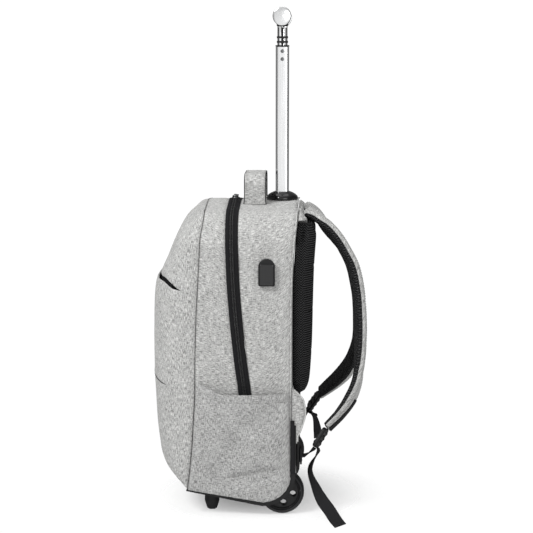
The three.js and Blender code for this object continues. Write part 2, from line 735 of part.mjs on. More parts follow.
function buildWheel(side, name) {
  const centreX = side * wheelCentreX;
  const hubRadius = wheelRadius - tyreDepth;
  const hub = new THREE.Shape();
  hub.absarc(0, 0, hubRadius, 0, Math.PI * 2);
  for (let i = 0; i < hubWindowCount; i++) {
    const angle = (i / hubWindowCount) * Math.PI * 2 - 0.19;
    const window = new THREE.Path();
    const centre = [Math.cos(angle) * hubWindowCircle / 2, Math.sin(angle) * hubWindowCircle / 2];
    window.absarc(centre[0], centre[1], hubWindowSize / 2, 0, Math.PI * 2, true);
    hub.holes.push(window);
  }
  const bore = new THREE.Path();
  bore.absarc(0, 0, axleDiameter / 2 + fitGap, 0, Math.PI * 2, true);
  hub.holes.push(bore);
  const hubWidth = wheelWidth - 3;
  const hubSolid = extrudedAcross(hub, -hubWidth / 2, hubWidth / 2, 5);
  addPiece('wheel_' + name, hubSolid.translate(centreX, wheelCentreY, wheelRadius), blackPlastic);

  const innerRadius = hubRadius + fitGap;
  const half = wheelWidth / 2;
  const profile = [
    [innerRadius, -half + 1], [wheelRadius - 3, -half], [wheelRadius - 0.8, -half + 3],
    [wheelRadius, 0], [wheelRadius - 0.8, half - 3], [wheelRadius - 3, half],
    [innerRadius, half - 1], [innerRadius, -half + 1],
  ].map(([radius, x]) => new THREE.Vector2(radius, x));
  const tyre = new THREE.LatheGeometry(profile, 24).rotateZ(-Math.PI / 2);
  addPiece('tyre_' + name, tyre.translate(centreX, wheelCentreY, wheelRadius), tyreRubber);

  const axleHalf = wheelWidth / 2 + wellClearance + wellWall;
  const axle = new THREE.CylinderGeometry(axleDiameter / 2, axleDiameter / 2, axleHalf * 2, 16);
  axle.rotateZ(Math.PI / 2).translate(centreX, wheelCentreY, wheelRadius);
  addPiece('axle_' + name, axle, darkSteel);
}

function buildFoot(side, name) {
  const rearEdge = footCentreY + footTopDiameter / 2;
  const height = baseLineAt(rearEdge) - rimAt(rearEdge) - fitGap;
  const profile = [
    [0, 0], [footBottomDiameter / 2, 0], [footTopDiameter / 2, footTaper],
    [footTopDiameter / 2, height], [0, height],
  ].map(([radius, z]) => new THREE.Vector2(radius, z));
  const foot = new THREE.LatheGeometry(profile, 16).rotateX(Math.PI / 2);
  addPiece('foot_' + name, foot.translate(side * footCentreX, footCentreY, 0), tyreRubber);
}

// Square tube standing on the pole's axis
function squareTube(outer, inner, low, high, groove = 0, corner = tubeCorner) {
  const shape = groove > 0 ? groovedSquare(outer, groove) : roundedRectangle(outer, outer, corner);
  const radius = Math.max(corner - (outer - inner) / 2, 1);
  const hole = new THREE.Path(roundedRectangle(inner, inner, radius).getPoints(2).reverse());
  shape.holes.push(hole);
  return extruded(shape, high - low, 2).translate(0, poleY, low);
}

// Square section with a groove down the middle of each side face, which stops it turning
function groovedSquare(size, groove) {
  const [half, r, g] = [size / 2, innerTubeCorner, groove / 2];
  const shape = new THREE.Shape();
  shape.moveTo(-half + r, -half);
  shape.lineTo(half - r, -half);
  shape.absarc(half - r, -half + r, r, -Math.PI / 2, 0);
  shape.lineTo(half, -g);
  shape.lineTo(half - g, 0);
  shape.lineTo(half, g);
  shape.lineTo(half, half - r);
  shape.absarc(half - r, half - r, r, 0, Math.PI / 2);
  shape.lineTo(-half + r, half);
  shape.absarc(-half + r, half - r, r, Math.PI / 2, Math.PI);
  shape.lineTo(-half, g);
  shape.lineTo(-half + g, 0);
  shape.lineTo(-half, -g);
  shape.lineTo(-half, -half + r);
  shape.absarc(-half + r, -half + r, r, Math.PI, Math.PI * 1.5);
  return shape;
}

function buildPullHandle() {
  const crown = bodyHeight + crownRise;
  const bezelLow = crown + fitGap;
  const guideTop = crown - clothWall - 4;
  addPiece('guide_tube', squareTube(guideOuter, guideInner, bossTop + fitGap, guideTop), darkSteel);

  // Bezel: a round dome through which the pole slides, with a skirt over the guide tube
  const bezel = new THREE.LatheGeometry([
    [0, -1], [bezelDiameter / 2 - 4, -1], [bezelDiameter / 2, 0], [bezelDiameter / 2 - 1, bezelHeight * 0.45],
    [bezelDiameter / 2 - bezelRound * 0.55, bezelHeight * 0.85],
    [bezelDiameter / 2 - bezelRound, bezelHeight], [0, bezelHeight],
  ].map(([radius, z]) => new THREE.Vector2(radius, z + 1)), 24).rotateX(Math.PI / 2);
  const bore = extruded(roundedRectangle(guideInner, guideInner, tubeCorner), bezelHeight + 8, 3);
  const cut = toManifold(bezel.translate(0, poleY, bezelLow)).subtract(
    toManifold(bore.translate(0, poleY, bezelLow - 4)));
  addPiece('handle_bezel', fromManifold(cut), glossPlastic);

  const outerInner = innerTubeSize + 2 * slideGap;
  const outerLow = bodyHeight - outerTubeInsert;
  addPiece('outer_tube', squareTube(outerTubeSize, outerInner, outerLow, outerTubeTop), aluminium);
  const collarSize = outerTubeSize + 2 * collarLip;
  const collarLow = outerTubeTop + fitGap;
  addPiece('collar', squareTube(collarSize, outerInner, collarLow, collarLow + collarHeight), blackPlastic);
  const rivetNames = ['upper', 'lower'];
  for (const side of [1, -1]) {
    for (let i = 0; i < rivetNames.length; i++) {
      const rivet = new THREE.CylinderGeometry(rivetDiameter / 2 - 0.6, rivetDiameter / 2, rivetHeight, 10);
      rivet.rotateZ(-side * Math.PI / 2);
      const x = side * (outerTubeSize / 2 + fitGap + rivetHeight / 2);
      rivet.translate(x, poleY, outerTubeTop - 7 - i * rivetSpacing);
      addPiece(`rivet_${rivetNames[i]}_${side > 0 ? 'right' : 'left'}`, rivet, darkSteel);
    }
  }

  const innerTop = outerTubeTop + collarHeight + innerNeck;
  const innerLow = innerTop - innerTubeLength;
  const innerBore = innerTubeSize - 2 * tubeWall - tubeGroove;
  const inner = squareTube(innerTubeSize, innerBore, innerLow, innerTop, tubeGroove);
  addPiece('inner_tube', inner, chrome);
  const ringBore = innerTubeSize + 2 * fitGap;
  for (let i = 0; i < 2; i++) {
    const low = outerTubeTop + collarHeight + 4 + i * 7.5;
    const ring = squareTube(ringBore + 1, ringBore, low, low + neckRingHeight, 0, innerTubeCorner + fitGap + 0.5);
    addPiece(i === 0 ? 'neck_ring_lower' : 'neck_ring_upper', ring, blackPlastic);
  }
  buildGrip(innerTop);
}

function buildGrip(innerTop) {
  const bodyLength = gripLength - 2 * gripCapLength - 2 * fitGap;
  const bar = new THREE.CylinderGeometry(gripDiameter / 2, gripDiameter / 2, bodyLength, 20);
  bar.rotateZ(Math.PI / 2).translate(0, poleY, gripHeight);
  const socketLow = innerTop + fitGap;
  const socket = extruded(roundedRectangle(gripSocket, gripSocket, 4), gripHeight - socketLow);
  let body = toManifold(bar).add(toManifold(socket.translate(0, poleY, socketLow)));
  const slotDepth = buttonTravel + 3;
  const slotLow = gripHeight + gripDiameter / 2 - slotDepth;
  const slot = roundedRectangle(buttonLength + 1, buttonWidth + 1, 3);
  body = body.subtract(toManifold(extruded(slot, slotDepth * 2).translate(0, poleY, slotLow)));
  addPiece('grip', fromManifold(body), blackPlastic);

  const buttonLow = slotLow + buttonTravel + fitGap;
  const buttonHeight = gripHeight + gripDiameter / 2 + buttonProud - buttonLow;
  const button = bevelled(roundedRectangle(buttonLength, buttonWidth, 2.5), buttonHeight, 0.6);
  addPiece('release_button', button.translate(0, poleY, buttonLow), glossPlastic);

  for (const [side, name] of [[1, 'right'], [-1, 'left']]) {
    const radius = gripCapDiameter / 2;
    const cap = new THREE.LatheGeometry([
      [0, 0], [radius - 0.6, 0], [radius, 0.8], [radius, gripCapLength - 1.6],
      [radius - 1.4, gripCapLength - 0.4], [0, gripCapLength],
    ].map(([r, x]) => new THREE.Vector2(r, x)), 20);
    cap.rotateZ(-side * Math.PI / 2);
    cap.translate(side * (bodyLength / 2 + fitGap), poleY, gripHeight);
    addPiece('grip_cap_' + name, cap, aluminium);
  }
}

// Band whose flat section is carried along a row of stations
function ribbonSolid(stations, width, thickness) {
  return loftedSolid(stations.map(({ centre, wide, thick }) => {
    const corner = (a, b) => centre.clone()
      .addScaledVector(wide, a * width / 2)
      .addScaledVector(thick, b * thickness / 2);
    return [corner(-1, -1), corner(1, -1), corner(1, 1), corner(-1, 1)];
  }));
}

function buildCarryHandle() {
  const rise = bodyHeight + crownAt(carrySpan / 2) + fitGap;
  const top = bodyHeight + crownRise + carryRise - carryThickness / 2;
  const half = carrySpan / 2;
  const path = new THREE.CurvePath();
  const point = (x, z) => new THREE.Vector3(x, carryY, z);
  path.add(new THREE.LineCurve3(point(half, rise), point(half, top - carryCorner)));
  path.add(new THREE.QuadraticBezierCurve3(
    point(half, top - carryCorner), point(half, top), point(half - carryCorner, top)));
  path.add(new THREE.LineCurve3(point(half - carryCorner, top), point(carryCorner - half, top)));
  path.add(new THREE.QuadraticBezierCurve3(
    point(carryCorner - half, top), point(-half, top), point(-half, top - carryCorner)));
  path.add(new THREE.LineCurve3(point(-half, top - carryCorner), point(-half, rise)));
  const stations = [];
  const steps = 20;
  for (let i = 0; i <= steps; i++) {
    const tangent = path.getTangent(i / steps);
    const wide = new THREE.Vector3(0, 1, 0);
    const thick = new THREE.Vector3().crossVectors(tangent, wide).normalize();
    stations.push({ centre: path.getPoint(i / steps), wide, thick });
  }
  addPiece('carry_handle', ribbonSolid(stations, carryWidth, carryThickness), greyCloth);
}

// Stations along a shoulder strap
function strapStations(line, side, steps) {
  const rootY = backFaceAt(bodyHeight);
  const points = line.map((row) => new THREE.Vector3(
    side * halfWidth * row.side, rootY + strapReach * row.back, bodyHeight * row.height));
  const curve = new THREE.CatmullRomCurve3(points);
  const column = (key, t) => {
    const place = t * (line.length - 1);
    const low = Math.min(Math.floor(place), line.length - 2);
    return lerp(line[low][key], line[low + 1][key], place - low);
  };
  const stations = [];
  for (let i = 0; i <= steps; i++) {
    const t = i / steps;
    const tangent = curve.getTangent(t);
    const sideways = new THREE.Vector3(1, 0, 0);
    sideways.addScaledVector(tangent, -sideways.dot(tangent)).normalize();
    const out = new THREE.Vector3().crossVectors(sideways, tangent).normalize();
    const turn = THREE.MathUtils.degToRad(column('turn', t));
    const wide = sideways.clone().multiplyScalar(side * Math.cos(turn)).addScaledVector(out, Math.sin(turn));
    const thick = new THREE.Vector3().crossVectors(wide, tangent).normalize().multiplyScalar(side);
    const scales = { width: column('wide', t), thickness: column('thick', t) };
    stations.push({ centre: curve.getPoint(t), wide, thick, ...scales });
  }
  return stations;
}

// One half of a strap's thickness, from its middle surface to its crowned outside
function strapLayer(stations, outward) {
  const steps = stations.length - 1;
  const columns = [-1, -0.78, 0.78, 1];
  const crown = [0.4, 1, 1, 0.4];
  const surface = (u, v, reach) => {
    const station = stations[Math.round(u * steps)];
    const column = Math.round(v * (columns.length - 1));
    const half = strapThickness / 2 * station.thickness * crown[column];
    return station.centre.clone()
      .addScaledVector(station.wide, columns[column] * strapWidth / 2 * station.width)
      .addScaledVector(station.thick, outward * (fitGap / 2 + reach * half));
  };
  return layeredSolid((u, v) => surface(u, v, 1), (u, v) => surface(u, v, 0), steps, columns.length - 1);
}

function buildStrap(line, side, name) {
  const stations = strapStations(line, side, 22);
  addPiece('strap_' + name, strapLayer(stations, 1), greyCloth);
  addPiece('strap_pad_' + name, strapLayer(stations, -1), blackMesh);
  return stations;
}

// Three-bar lock at the lower tip of a strap, in the plane of the strap's end
function buildLock(stations, side, name) {
  const end = stations[stations.length - 1];
  const before = stations[stations.length - 2];
  const down = end.centre.clone().sub(before.centre).normalize();
  down.lerp(new THREE.Vector3(0, 0, -1), lockDroop).normalize();
  const shape = roundedRectangle(lockWidth, lockLength, 4);
  const slotWidth = lockWidth - 6;
  const slotHeight = (lockLength - 3 * lockBar) / 2;
  for (const place of [-1, 1]) {
    const offset = place * (slotHeight + lockBar) / 2;
    const slot = roundedRectangle(slotWidth, slotHeight, 1.5).getPoints(1).reverse();
    shape.holes.push(new THREE.Path(slot.map((p) => p.add(new THREE.Vector2(0, offset)))));
  }
  const lock = extruded(shape, lockThickness, 2);
  lock.translate(0, 0, -lockThickness / 2);
  const thick = new THREE.Vector3().crossVectors(end.wide, down).normalize();
  const wide = new THREE.Vector3().crossVectors(down, thick).normalize();
  const centre = end.centre.clone().addScaledVector(down, lockLength / 2 + webbingThickness);
  lock.applyMatrix4(new THREE.Matrix4().makeBasis(wide, down, thick).setPosition(centre));
  addPiece('ladder_lock_' + name, lock, blackPlastic);
  return { centre, down, wide, thick };
}

// Webbing sewn over the strap's tip, which holds the lock
function buildPatch(stations, name) {
  const last = stations.length - 1;
  const first = Math.round(last * 0.86);
  const patch = stations.slice(first).map((station) => {
    const lift = strapThickness / 2 * station.thickness + fitGap * 2 + webbingThickness / 2;
    return { ...station, centre: station.centre.clone().addScaledVector(station.thick, lift) };
  });
  addPiece('strap_patch_' + name, ribbonSolid(patch, webbingWidth, webbingThickness), blackWebbing);
}

function ribbonAlong(points, wides, steps) {
  const curve = new THREE.CatmullRomCurve3(points);
  const stations = [];
  for (let i = 0; i <= steps; i++) {
    const t = i / steps;
    const tangent = curve.getTangent(t);
    const place = t * (wides.length - 1);
    const low = Math.min(Math.floor(place), wides.length - 2);
    const wide = wides[low].clone().lerp(wides[low + 1], place - low);
    wide.addScaledVector(tangent, -wide.dot(tangent)).normalize();
    const thick = new THREE.Vector3().crossVectors(wide, tangent).normalize();
    stations.push({ centre: curve.getPoint(t), wide, thick });
  }
  return stations;
}

// Webbing from the rail on the base to the lock, and the free end that hangs beside it
function buildWebbing(lock, line, side, name) {
  const across = new THREE.Vector3(1, 0, 0);
  const wide = lock.wide.clone().multiplyScalar(Math.sign(lock.wide.x));
  const foot = lock.centre.clone().addScaledVector(lock.down, lockLength / 2 + fitGap);
  const anchorX = side * railCentreX;
  const anchorY = kickBack + railProud + fitGap;
  const plateThickness = webbingThickness + 1;
  const plate = extruded(roundedRectangle(webbingWidth, anchorPlate, 2), plateThickness, 2);
  plate.applyMatrix4(new THREE.Matrix4().makeBasis(
    new THREE.Vector3(-1, 0, 0), new THREE.Vector3(0, 0, 1), new THREE.Vector3(0, 1, 0)));
  addPiece('webbing_anchor_' + name, plate.translate(anchorX, anchorY, anchorHeight), blackWebbing);

  const start = new THREE.Vector3(anchorX, anchorY + plateThickness + seamGap, anchorHeight);
  const leave = start.clone().add(new THREE.Vector3(0, webbingThickness * 2, 0));
  const turn = foot.clone().addScaledVector(lock.down, webbingThickness * 2);
  const lower = ribbonAlong([start, leave, turn, foot], [across, across, wide, wide], 10);
  addPiece('lower_webbing_' + name, ribbonSolid(lower, webbingWidth, webbingThickness), blackWebbing);

  const rootY = backFaceAt(bodyHeight);
  const outward = Math.sign(lock.thick.y || 1);
  const offset = lockThickness / 2 + fitGap + webbingThickness / 2;
  const onLock = (drop, lift) => lock.centre.clone()
    .addScaledVector(lock.down, lockLength / 2 + drop)
    .addScaledVector(lock.thick, outward * (offset + lift));
  const leaving = [onLock(-lockBar / 3, fitGap), onLock(webbingThickness, webbingThickness * 2)];
  const rows = line.map((row) => new THREE.Vector3(
    side * halfWidth * row.side, rootY + strapReach * row.back, bodyHeight * row.height));
  const wides = line.map((row) => {
    const face = THREE.MathUtils.degToRad(row.face);
    return new THREE.Vector3(Math.cos(face), side * Math.sin(face), 0);
  });
  const tail = ribbonAlong([...leaving, ...rows], [wide, wide, ...wides], 16);
  addPiece('tail_' + name, ribbonSolid(tail, webbingWidth, webbingThickness), blackWebbing);
}

function buildPort() {
  const low = portHeight - portLength / 2;
  const places = [0, 0.25, 0.5].map((share) => low + share * portLength);
  const x = Math.max(...places.map((z) => halfWidthAt(z, portY - portWidth / 2)));
  const radius = portWidth / 2;
  const outline = new THREE.Shape();
  outline.moveTo(-radius + 3, 0);
  outline.lineTo(radius - 3, 0);
  outline.absarc(radius - 3, 3, 3, -Math.PI / 2, 0);
  outline.lineTo(radius, portLength - radius);
  outline.absarc(0, portLength - radius, radius, 0, Math.PI);
  outline.lineTo(-radius, 3);
  outline.absarc(-radius + 3, 3, 3, Math.PI, Math.PI * 1.5);
  const place = new THREE.Matrix4().makeBasis(
    new THREE.Vector3(0, 1, 0), new THREE.Vector3(0, 0, 1), new THREE.Vector3(1, 0, 0));
  const housing = bevelled(outline, portThickness, 1).applyMatrix4(place);
  addPiece('port_housing', housing.translate(x + fitGap + 0.3, portY, low), blackPlastic);
  const cover = bevelled(roundedRectangle(portCoverWidth, portCoverLength, 3), portCoverThickness, 1);
  cover.applyMatrix4(place);
  const coverX = x + 2 * fitGap + 0.3 + portThickness;
  addPiece('port_cover', cover.translate(coverX, portY, low + 2.5 + portCoverLength / 2), glossPlastic);
}

buildFrontPanels();
buildGusset();
buildZipSlider();
buildBackPanel();
buildBack();
buildBase();
buildPullHandle();
buildCarryHandle();
buildPort();
for (const [side, name] of [[1, 'right'], [-1, 'left']]) {
  buildSidePocket(side, name);
  buildWing(side, name);
  buildWheel(side, name);
  buildFoot(side, name);
  const strap = buildStrap(side > 0 ? rightStrapLine : leftStrapLine, side, name);
  buildPatch(strap, name);
  const lock = buildLock(strap, side, name);
  buildWebbing(lock, side > 0 ? rightTailLine : leftTailLine, side, name);
}

// The origin is the middle of the footprint box on the floor
const box = new THREE.Box3().setFromObject(bag);
bag.position.set(-(box.min.x + box.max.x) / 2, -(box.min.y + box.max.y) / 2, -box.min.z);
bag.updateMatrixWorld(true);

export default bag;
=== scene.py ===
# Wheeled backpack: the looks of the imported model. Shapes are worked out in millimetres from the
# pull handle's axis (x), the rear edge of the side cloth (y) and the floor (z).
import math
import bpy
import numpy as np
from mathutils import Matrix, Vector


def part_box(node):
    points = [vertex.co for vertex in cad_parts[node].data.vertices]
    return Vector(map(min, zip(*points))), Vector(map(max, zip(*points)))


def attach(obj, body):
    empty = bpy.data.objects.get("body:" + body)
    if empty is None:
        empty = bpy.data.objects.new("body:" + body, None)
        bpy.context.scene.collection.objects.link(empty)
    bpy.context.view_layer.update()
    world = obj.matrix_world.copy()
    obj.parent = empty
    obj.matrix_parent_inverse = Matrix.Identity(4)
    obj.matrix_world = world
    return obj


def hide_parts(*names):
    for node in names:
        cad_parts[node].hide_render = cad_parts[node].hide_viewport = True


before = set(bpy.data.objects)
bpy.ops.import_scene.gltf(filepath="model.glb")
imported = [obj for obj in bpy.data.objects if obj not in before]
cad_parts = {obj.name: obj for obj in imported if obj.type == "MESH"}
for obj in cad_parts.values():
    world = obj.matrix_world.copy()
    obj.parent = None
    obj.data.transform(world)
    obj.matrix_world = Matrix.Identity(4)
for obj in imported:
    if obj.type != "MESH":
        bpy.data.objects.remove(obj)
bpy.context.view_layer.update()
for material in bpy.data.materials:
    material.use_nodes = True

poleY = -15.7
tubeLow, tubeHigh = (np.array(corner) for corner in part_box("outer_tube"))
poleAxis = (tubeLow + tubeHigh) / 2
origin = np.array([poleAxis[0], poleAxis[1] - poleY / 1000, 0.0])

bag = {
    "width": 304, "height": 492, "depth": 150, "frontBulge": 74, "crownRise": 8,
    "shoulderRadius": 60, "sideSwell": 3, "wall": 2, "seamGap": 0.6, "roundness": 3.3,
    "zipWidth": 20, "zipProud": 1.2, "baseFront": 43, "baseRear": 23, "cornerRadius": 47,
}
halfWidth = bag["width"] / 2
shoulderHeight = bag["height"] - bag["shoulderRadius"]


# A straight blend: a plus the share of the step from a to b
def lerp(a, b, share):
    return a + (b - a) * share


# An eased step: the share squared times three less twice the share
def smoothStep(value, low, high):
    share = np.clip((value - low) / (high - low), 0, 1)
    return share * share * (3 - 2 * share)


# A smooth rising or falling curve through a row of places and values: cubic pieces whose
# slopes at the rows are the harmonic mean of the straight slopes on both sides
def curveThrough(places, values, x):
    places, values = np.asarray(places, float), np.asarray(values, float)
    steps = np.diff(places)
    slopes = np.diff(values) / steps
    product = slopes[:-1] * slopes[1:]
    total = slopes[:-1] + slopes[1:]
    inner = np.where(product > 0, 2 * product / np.where(total == 0, 1, total), 0)
    tangents = np.concatenate([slopes[:1], inner, slopes[-1:]])
    i = np.clip(np.searchsorted(places, x) - 1, 0, len(steps) - 1)
    t = np.clip((x - places[i]) / steps[i], 0, 1)
    h = steps[i]
    return (values[i] * (1 + 2 * t) * (1 - t) ** 2 + values[i + 1] * t * t * (3 - 2 * t)
            + h * tangents[i] * t * (1 - t) ** 2 - h * tangents[i + 1] * t * t * (1 - t))


# Soft unevenness: a sum of sine waves in random directions, each octave twice as fine
def ripple(points, size, seed, octaves=3):
    rng = np.random.default_rng(seed)
    total = np.zeros(points.shape[:-1])
    for octave in range(octaves):
        for _ in range(5):
            direction = rng.normal(size=3)
            direction /= np.linalg.norm(direction)
            wave = points @ direction * (2 * math.pi / size * 2 ** octave)
            total += np.sin(wave + rng.uniform(0, 2 * math.pi)) / 2 ** octave / 5
    return total


# Vectors divided by their lengths
def unit(vectors):
    return vectors / np.maximum(np.linalg.norm(vectors, axis=-1, keepdims=True), 1e-9)


# Normals of a grid: the step along the first index crossed with the step along the second
def gridNormals(grid):
    return unit(np.cross(np.gradient(grid, axis=0), np.gradient(grid, axis=1)))


# Length run so far along one index of a grid: its steps summed from nought
def lengthsAlong(grid, axis):
    steps = np.linalg.norm(np.diff(grid, axis=axis), axis=2)
    start = np.zeros_like(steps.take([0], axis=axis))
    return np.cumsum(np.concatenate([start, steps], axis=axis), axis=axis)


# Millimetres from a grid's four edges, measured over the surface
def edgeDistances(grid):
    u, v = lengthsAlong(grid, 0), lengthsAlong(grid, 1)
    return u, u[-1:] - u, v, v[:, -1:] - v


# A grid's points and quads, with the lengths along both indices as its map in metres
def gridShell(grid, wrapRows=False, wrapColumns=False):
    n, m = grid.shape[:2]
    index = np.arange(n * m).reshape(n, m)
    wide = grid
    if wrapRows:
        index, wide = np.vstack([index, index[:1]]), np.concatenate([wide, wide[:1]], 0)
    if wrapColumns:
        index, wide = np.hstack([index, index[:, :1]]), np.concatenate([wide, wide[:, :1]], 1)
    uv = np.stack([lengthsAlong(wide, 0), lengthsAlong(wide, 1)], -1) / 1000

    def corners(table):
        quads = [table[:-1, :-1], table[1:, :-1], table[1:, 1:], table[:-1, 1:]]
        return np.stack(quads, 2).reshape(-1, 4, *table.shape[2:])
    return {"points": [grid.reshape(-1, 3)], "faces": [corners(index)], "uv": [corners(uv)]}


# A sheet of even thickness: the grid, a copy pushed in along the normals, and a rim round
# every open edge. keep is a mask of the quads that stay.
def sheetShell(grid, wall, keep=None):
    shell = gridShell(grid)
    quads, uv = shell["faces"][0], shell["uv"][0]
    if keep is not None:
        quads, uv = quads[keep.ravel()], uv[keep.ravel()]
    count = grid.shape[0] * grid.shape[1]
    inner = grid - gridNormals(grid) * wall
    starts, ends = quads.ravel(), np.roll(quads, -1, axis=1).ravel()
    isOpen = ~np.isin(starts * count + ends, ends * count + starts)
    a, b = starts[isOpen], ends[isOpen]
    uvA = uv.reshape(-1, 2)[isOpen]
    uvB = np.roll(uv, -1, axis=1).reshape(-1, 2)[isOpen]
    rim = np.stack([b, a, a + count, b + count], 1)
    rimUv = np.stack([uvB, uvA, uvA + wall / 1000, uvB + wall / 1000], 1)
    points = np.concatenate([grid.reshape(-1, 3), inner.reshape(-1, 3)])
    used = np.zeros(2 * count, bool)
    used[quads.ravel()] = True
    used[quads.ravel() + count] = True
    renumber = np.cumsum(used) - 1
    faces = [quads, quads[:, ::-1] + count, rim]
    return {"points": [points[used]], "faces": [renumber[f] for f in faces],
            "uv": [uv, uv[:, ::-1], rimUv]}


# Closed rings joined in order. Flat ends are fans round their middle points.
def loftShell(rings, wrapPath=False):
    shell = gridShell(rings, wrapRows=wrapPath, wrapColumns=True)
    if wrapPath:
        return shell
    n, k = rings.shape[:2]
    for row, turn in ((0, 1), (n - 1, -1)):
        centre = rings[row].mean(axis=0)
        middle = n * k + (0 if row == 0 else 1)
        ring = row * k + np.arange(k)
        fan = np.stack([np.full(k, middle), np.roll(ring, -1), ring], 1)[:, ::turn]
        flat = (rings[row] - centre)[:, [0, 1]] / 1000
        fanUv = np.stack([np.zeros((k, 2)), np.roll(flat, -1, axis=0), flat], 1)[:, ::turn]
        shell["points"].append(centre[None])
        shell["faces"].append(fan)
        shell["uv"].append(fanUv)
    return shell


# Six times the volume inside: a dot b cross c, summed over the triangles of each face
def signedVolume(points, faces):
    total = 0.0
    for face in faces:
        for k in range(1, face.shape[1] - 1):
            a, b, c = points[face[:, 0]], points[face[:, k]], points[face[:, k + 1]]
            total += np.einsum("ij,ij->", a, np.cross(b, c))
    return total


# One object from closed shells, each turned outwards by the sign of its volume
def makePiece(name, shells, material, node=None, body="bag", sharp=38):
    points, loops, sizes, uvs, offset = [], [], [], [], 0
    for shell in shells:
        own = np.concatenate(shell["points"])
        turned = signedVolume(own - own.mean(axis=0), shell["faces"]) < 0
        for face, uv in zip(shell["faces"], shell["uv"]):
            face, uv = (face[:, ::-1], uv[:, ::-1]) if turned else (face, uv)
            loops.append((face + offset).ravel())
            sizes.append(np.full(len(face), face.shape[1]))
            uvs.append(uv.reshape(-1, 2))
        points.append(own)
        offset += len(own)
    loops, sizes = np.concatenate(loops), np.concatenate(sizes)
    place = np.concatenate(points) / 1000 + origin
    mesh = bpy.data.meshes.new(name)
    mesh.vertices.add(len(place))
    mesh.vertices.foreach_set("co", place.astype(np.float32).ravel())
    mesh.loops.add(len(loops))
    mesh.loops.foreach_set("vertex_index", loops.astype(np.int32))
    mesh.polygons.add(len(sizes))
    starts = np.concatenate([[0], np.cumsum(sizes)[:-1]])
    mesh.polygons.foreach_set("loop_start", starts.astype(np.int32))
    mesh.update(calc_edges=True)
    layer = mesh.uv_layers.new(name="surface")
    layer.data.foreach_set("uv", np.concatenate(uvs).astype(np.float32).ravel())
    mesh.shade_smooth()
    mesh.set_sharp_from_angle(angle=math.radians(sharp))
    piece = bpy.data.objects.new(name, mesh)
    bpy.context.scene.collection.objects.link(piece)
    piece.data.materials.append(material["material"])
    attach(piece, body)
    if node:
        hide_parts(node)
    return piece


# Width and length of a cloth grid, measured over its surface, in metres; they are neither kept nor
# declared
def declareSheet(grid):
    width, length = lengthsAlong(grid, 0)[-1].max() / 1000, lengthsAlong(grid, 1)[:, -1].max() / 1000


# Closed outline of a superellipse: half sizes times signed powers of cosine and sine
def boxySection(count, power):
    angle = np.arange(count) / count * 2 * math.pi
    cosine, sine = np.cos(angle), np.sin(angle)
    return (np.sign(cosine) * np.abs(cosine) ** (2 / power),
            np.sign(sine) * np.abs(sine) ** (2 / power))


# A section carried along a path: centre plus the section's two sizes along two directions
def carried(centres, first, second, a, b):
    return (centres[:, None] + first[:, None] * np.atleast_2d(a)[..., None]
            + second[:, None] * np.atleast_2d(b)[..., None])


# A profile of radius and place turned about an axis through a centre
def revolved(profile, centre, axis, segments=64, closed=False):
    profile = np.asarray(profile, float)
    angle = np.arange(segments) / segments * 2 * math.pi
    axis = np.array(axis, float)
    side = np.array([0, 0, 1.0]) if abs(axis[2]) < 0.5 else np.array([1.0, 0, 0])
    other = np.cross(axis, side)
    ring = np.cos(angle)[:, None] * side + np.sin(angle)[:, None] * other
    rings = (np.array(centre, float) + profile[:, 1][:, None, None] * axis
             + profile[:, 0][:, None, None] * ring[None])
    return loftShell(rings, wrapPath=closed)


# Profile points with its corners rounded: each inner corner becomes a short quadratic curve
def rounded(points, radius, steps=5):
    points = np.asarray(points, float)
    result = [points[:1]]
    t = np.linspace(0, 1, steps)[:, None]
    for i in range(1, len(points) - 1):
        before, here, after = points[i - 1], points[i], points[i + 1]
        reach = min(radius, np.linalg.norm(before - here) / 2.1, np.linalg.norm(after - here) / 2.1)
        a = here + unit(before - here) * reach
        b = here + unit(after - here) * reach
        result.append(a * (1 - t) ** 2 + 2 * here * t * (1 - t) + b * t ** 2)
    result.append(points[-1:])
    return np.concatenate(result)


# A curve through points, eased by the square root of their distances
def curveAlong(points, t):
    points = np.asarray(points, float)
    last = len(points) - 1
    place = np.clip(t, 0, 1) * last
    i = np.minimum(place.astype(int), last - 1)
    w = (place - i)[:, None]
    ends = np.vstack([2 * points[0] - points[1], points, 2 * points[-1] - points[-2]])
    p0, p1, p2, p3 = ends[i], ends[i + 1], ends[i + 2], ends[i + 3]
    d0, d1, d2 = (np.linalg.norm(b - a, axis=1, keepdims=True) ** 0.5
                  for a, b in ((p0, p1), (p1, p2), (p2, p3)))
    m1 = ((p1 - p0) / d0 - (p2 - p0) / (d0 + d1) + (p2 - p1) / d1) * d1
    m2 = ((p2 - p1) / d1 - (p3 - p1) / (d1 + d2) + (p3 - p2) / d2) * d1
    return (p1 * (1 + 2 * w) * (1 - w) ** 2 + p2 * w * w * (3 - 2 * w)
            + m1 * w * (1 - w) ** 2 - m2 * w * w * (1 - w))


# Direction of the curve through points: the step between two near places on it
def slopeAlong(points, t):
    after, before = (curveAlong(points, np.clip(t + step, 0, 1)) for step in (1e-3, -1e-3))
    return unit(after - before)


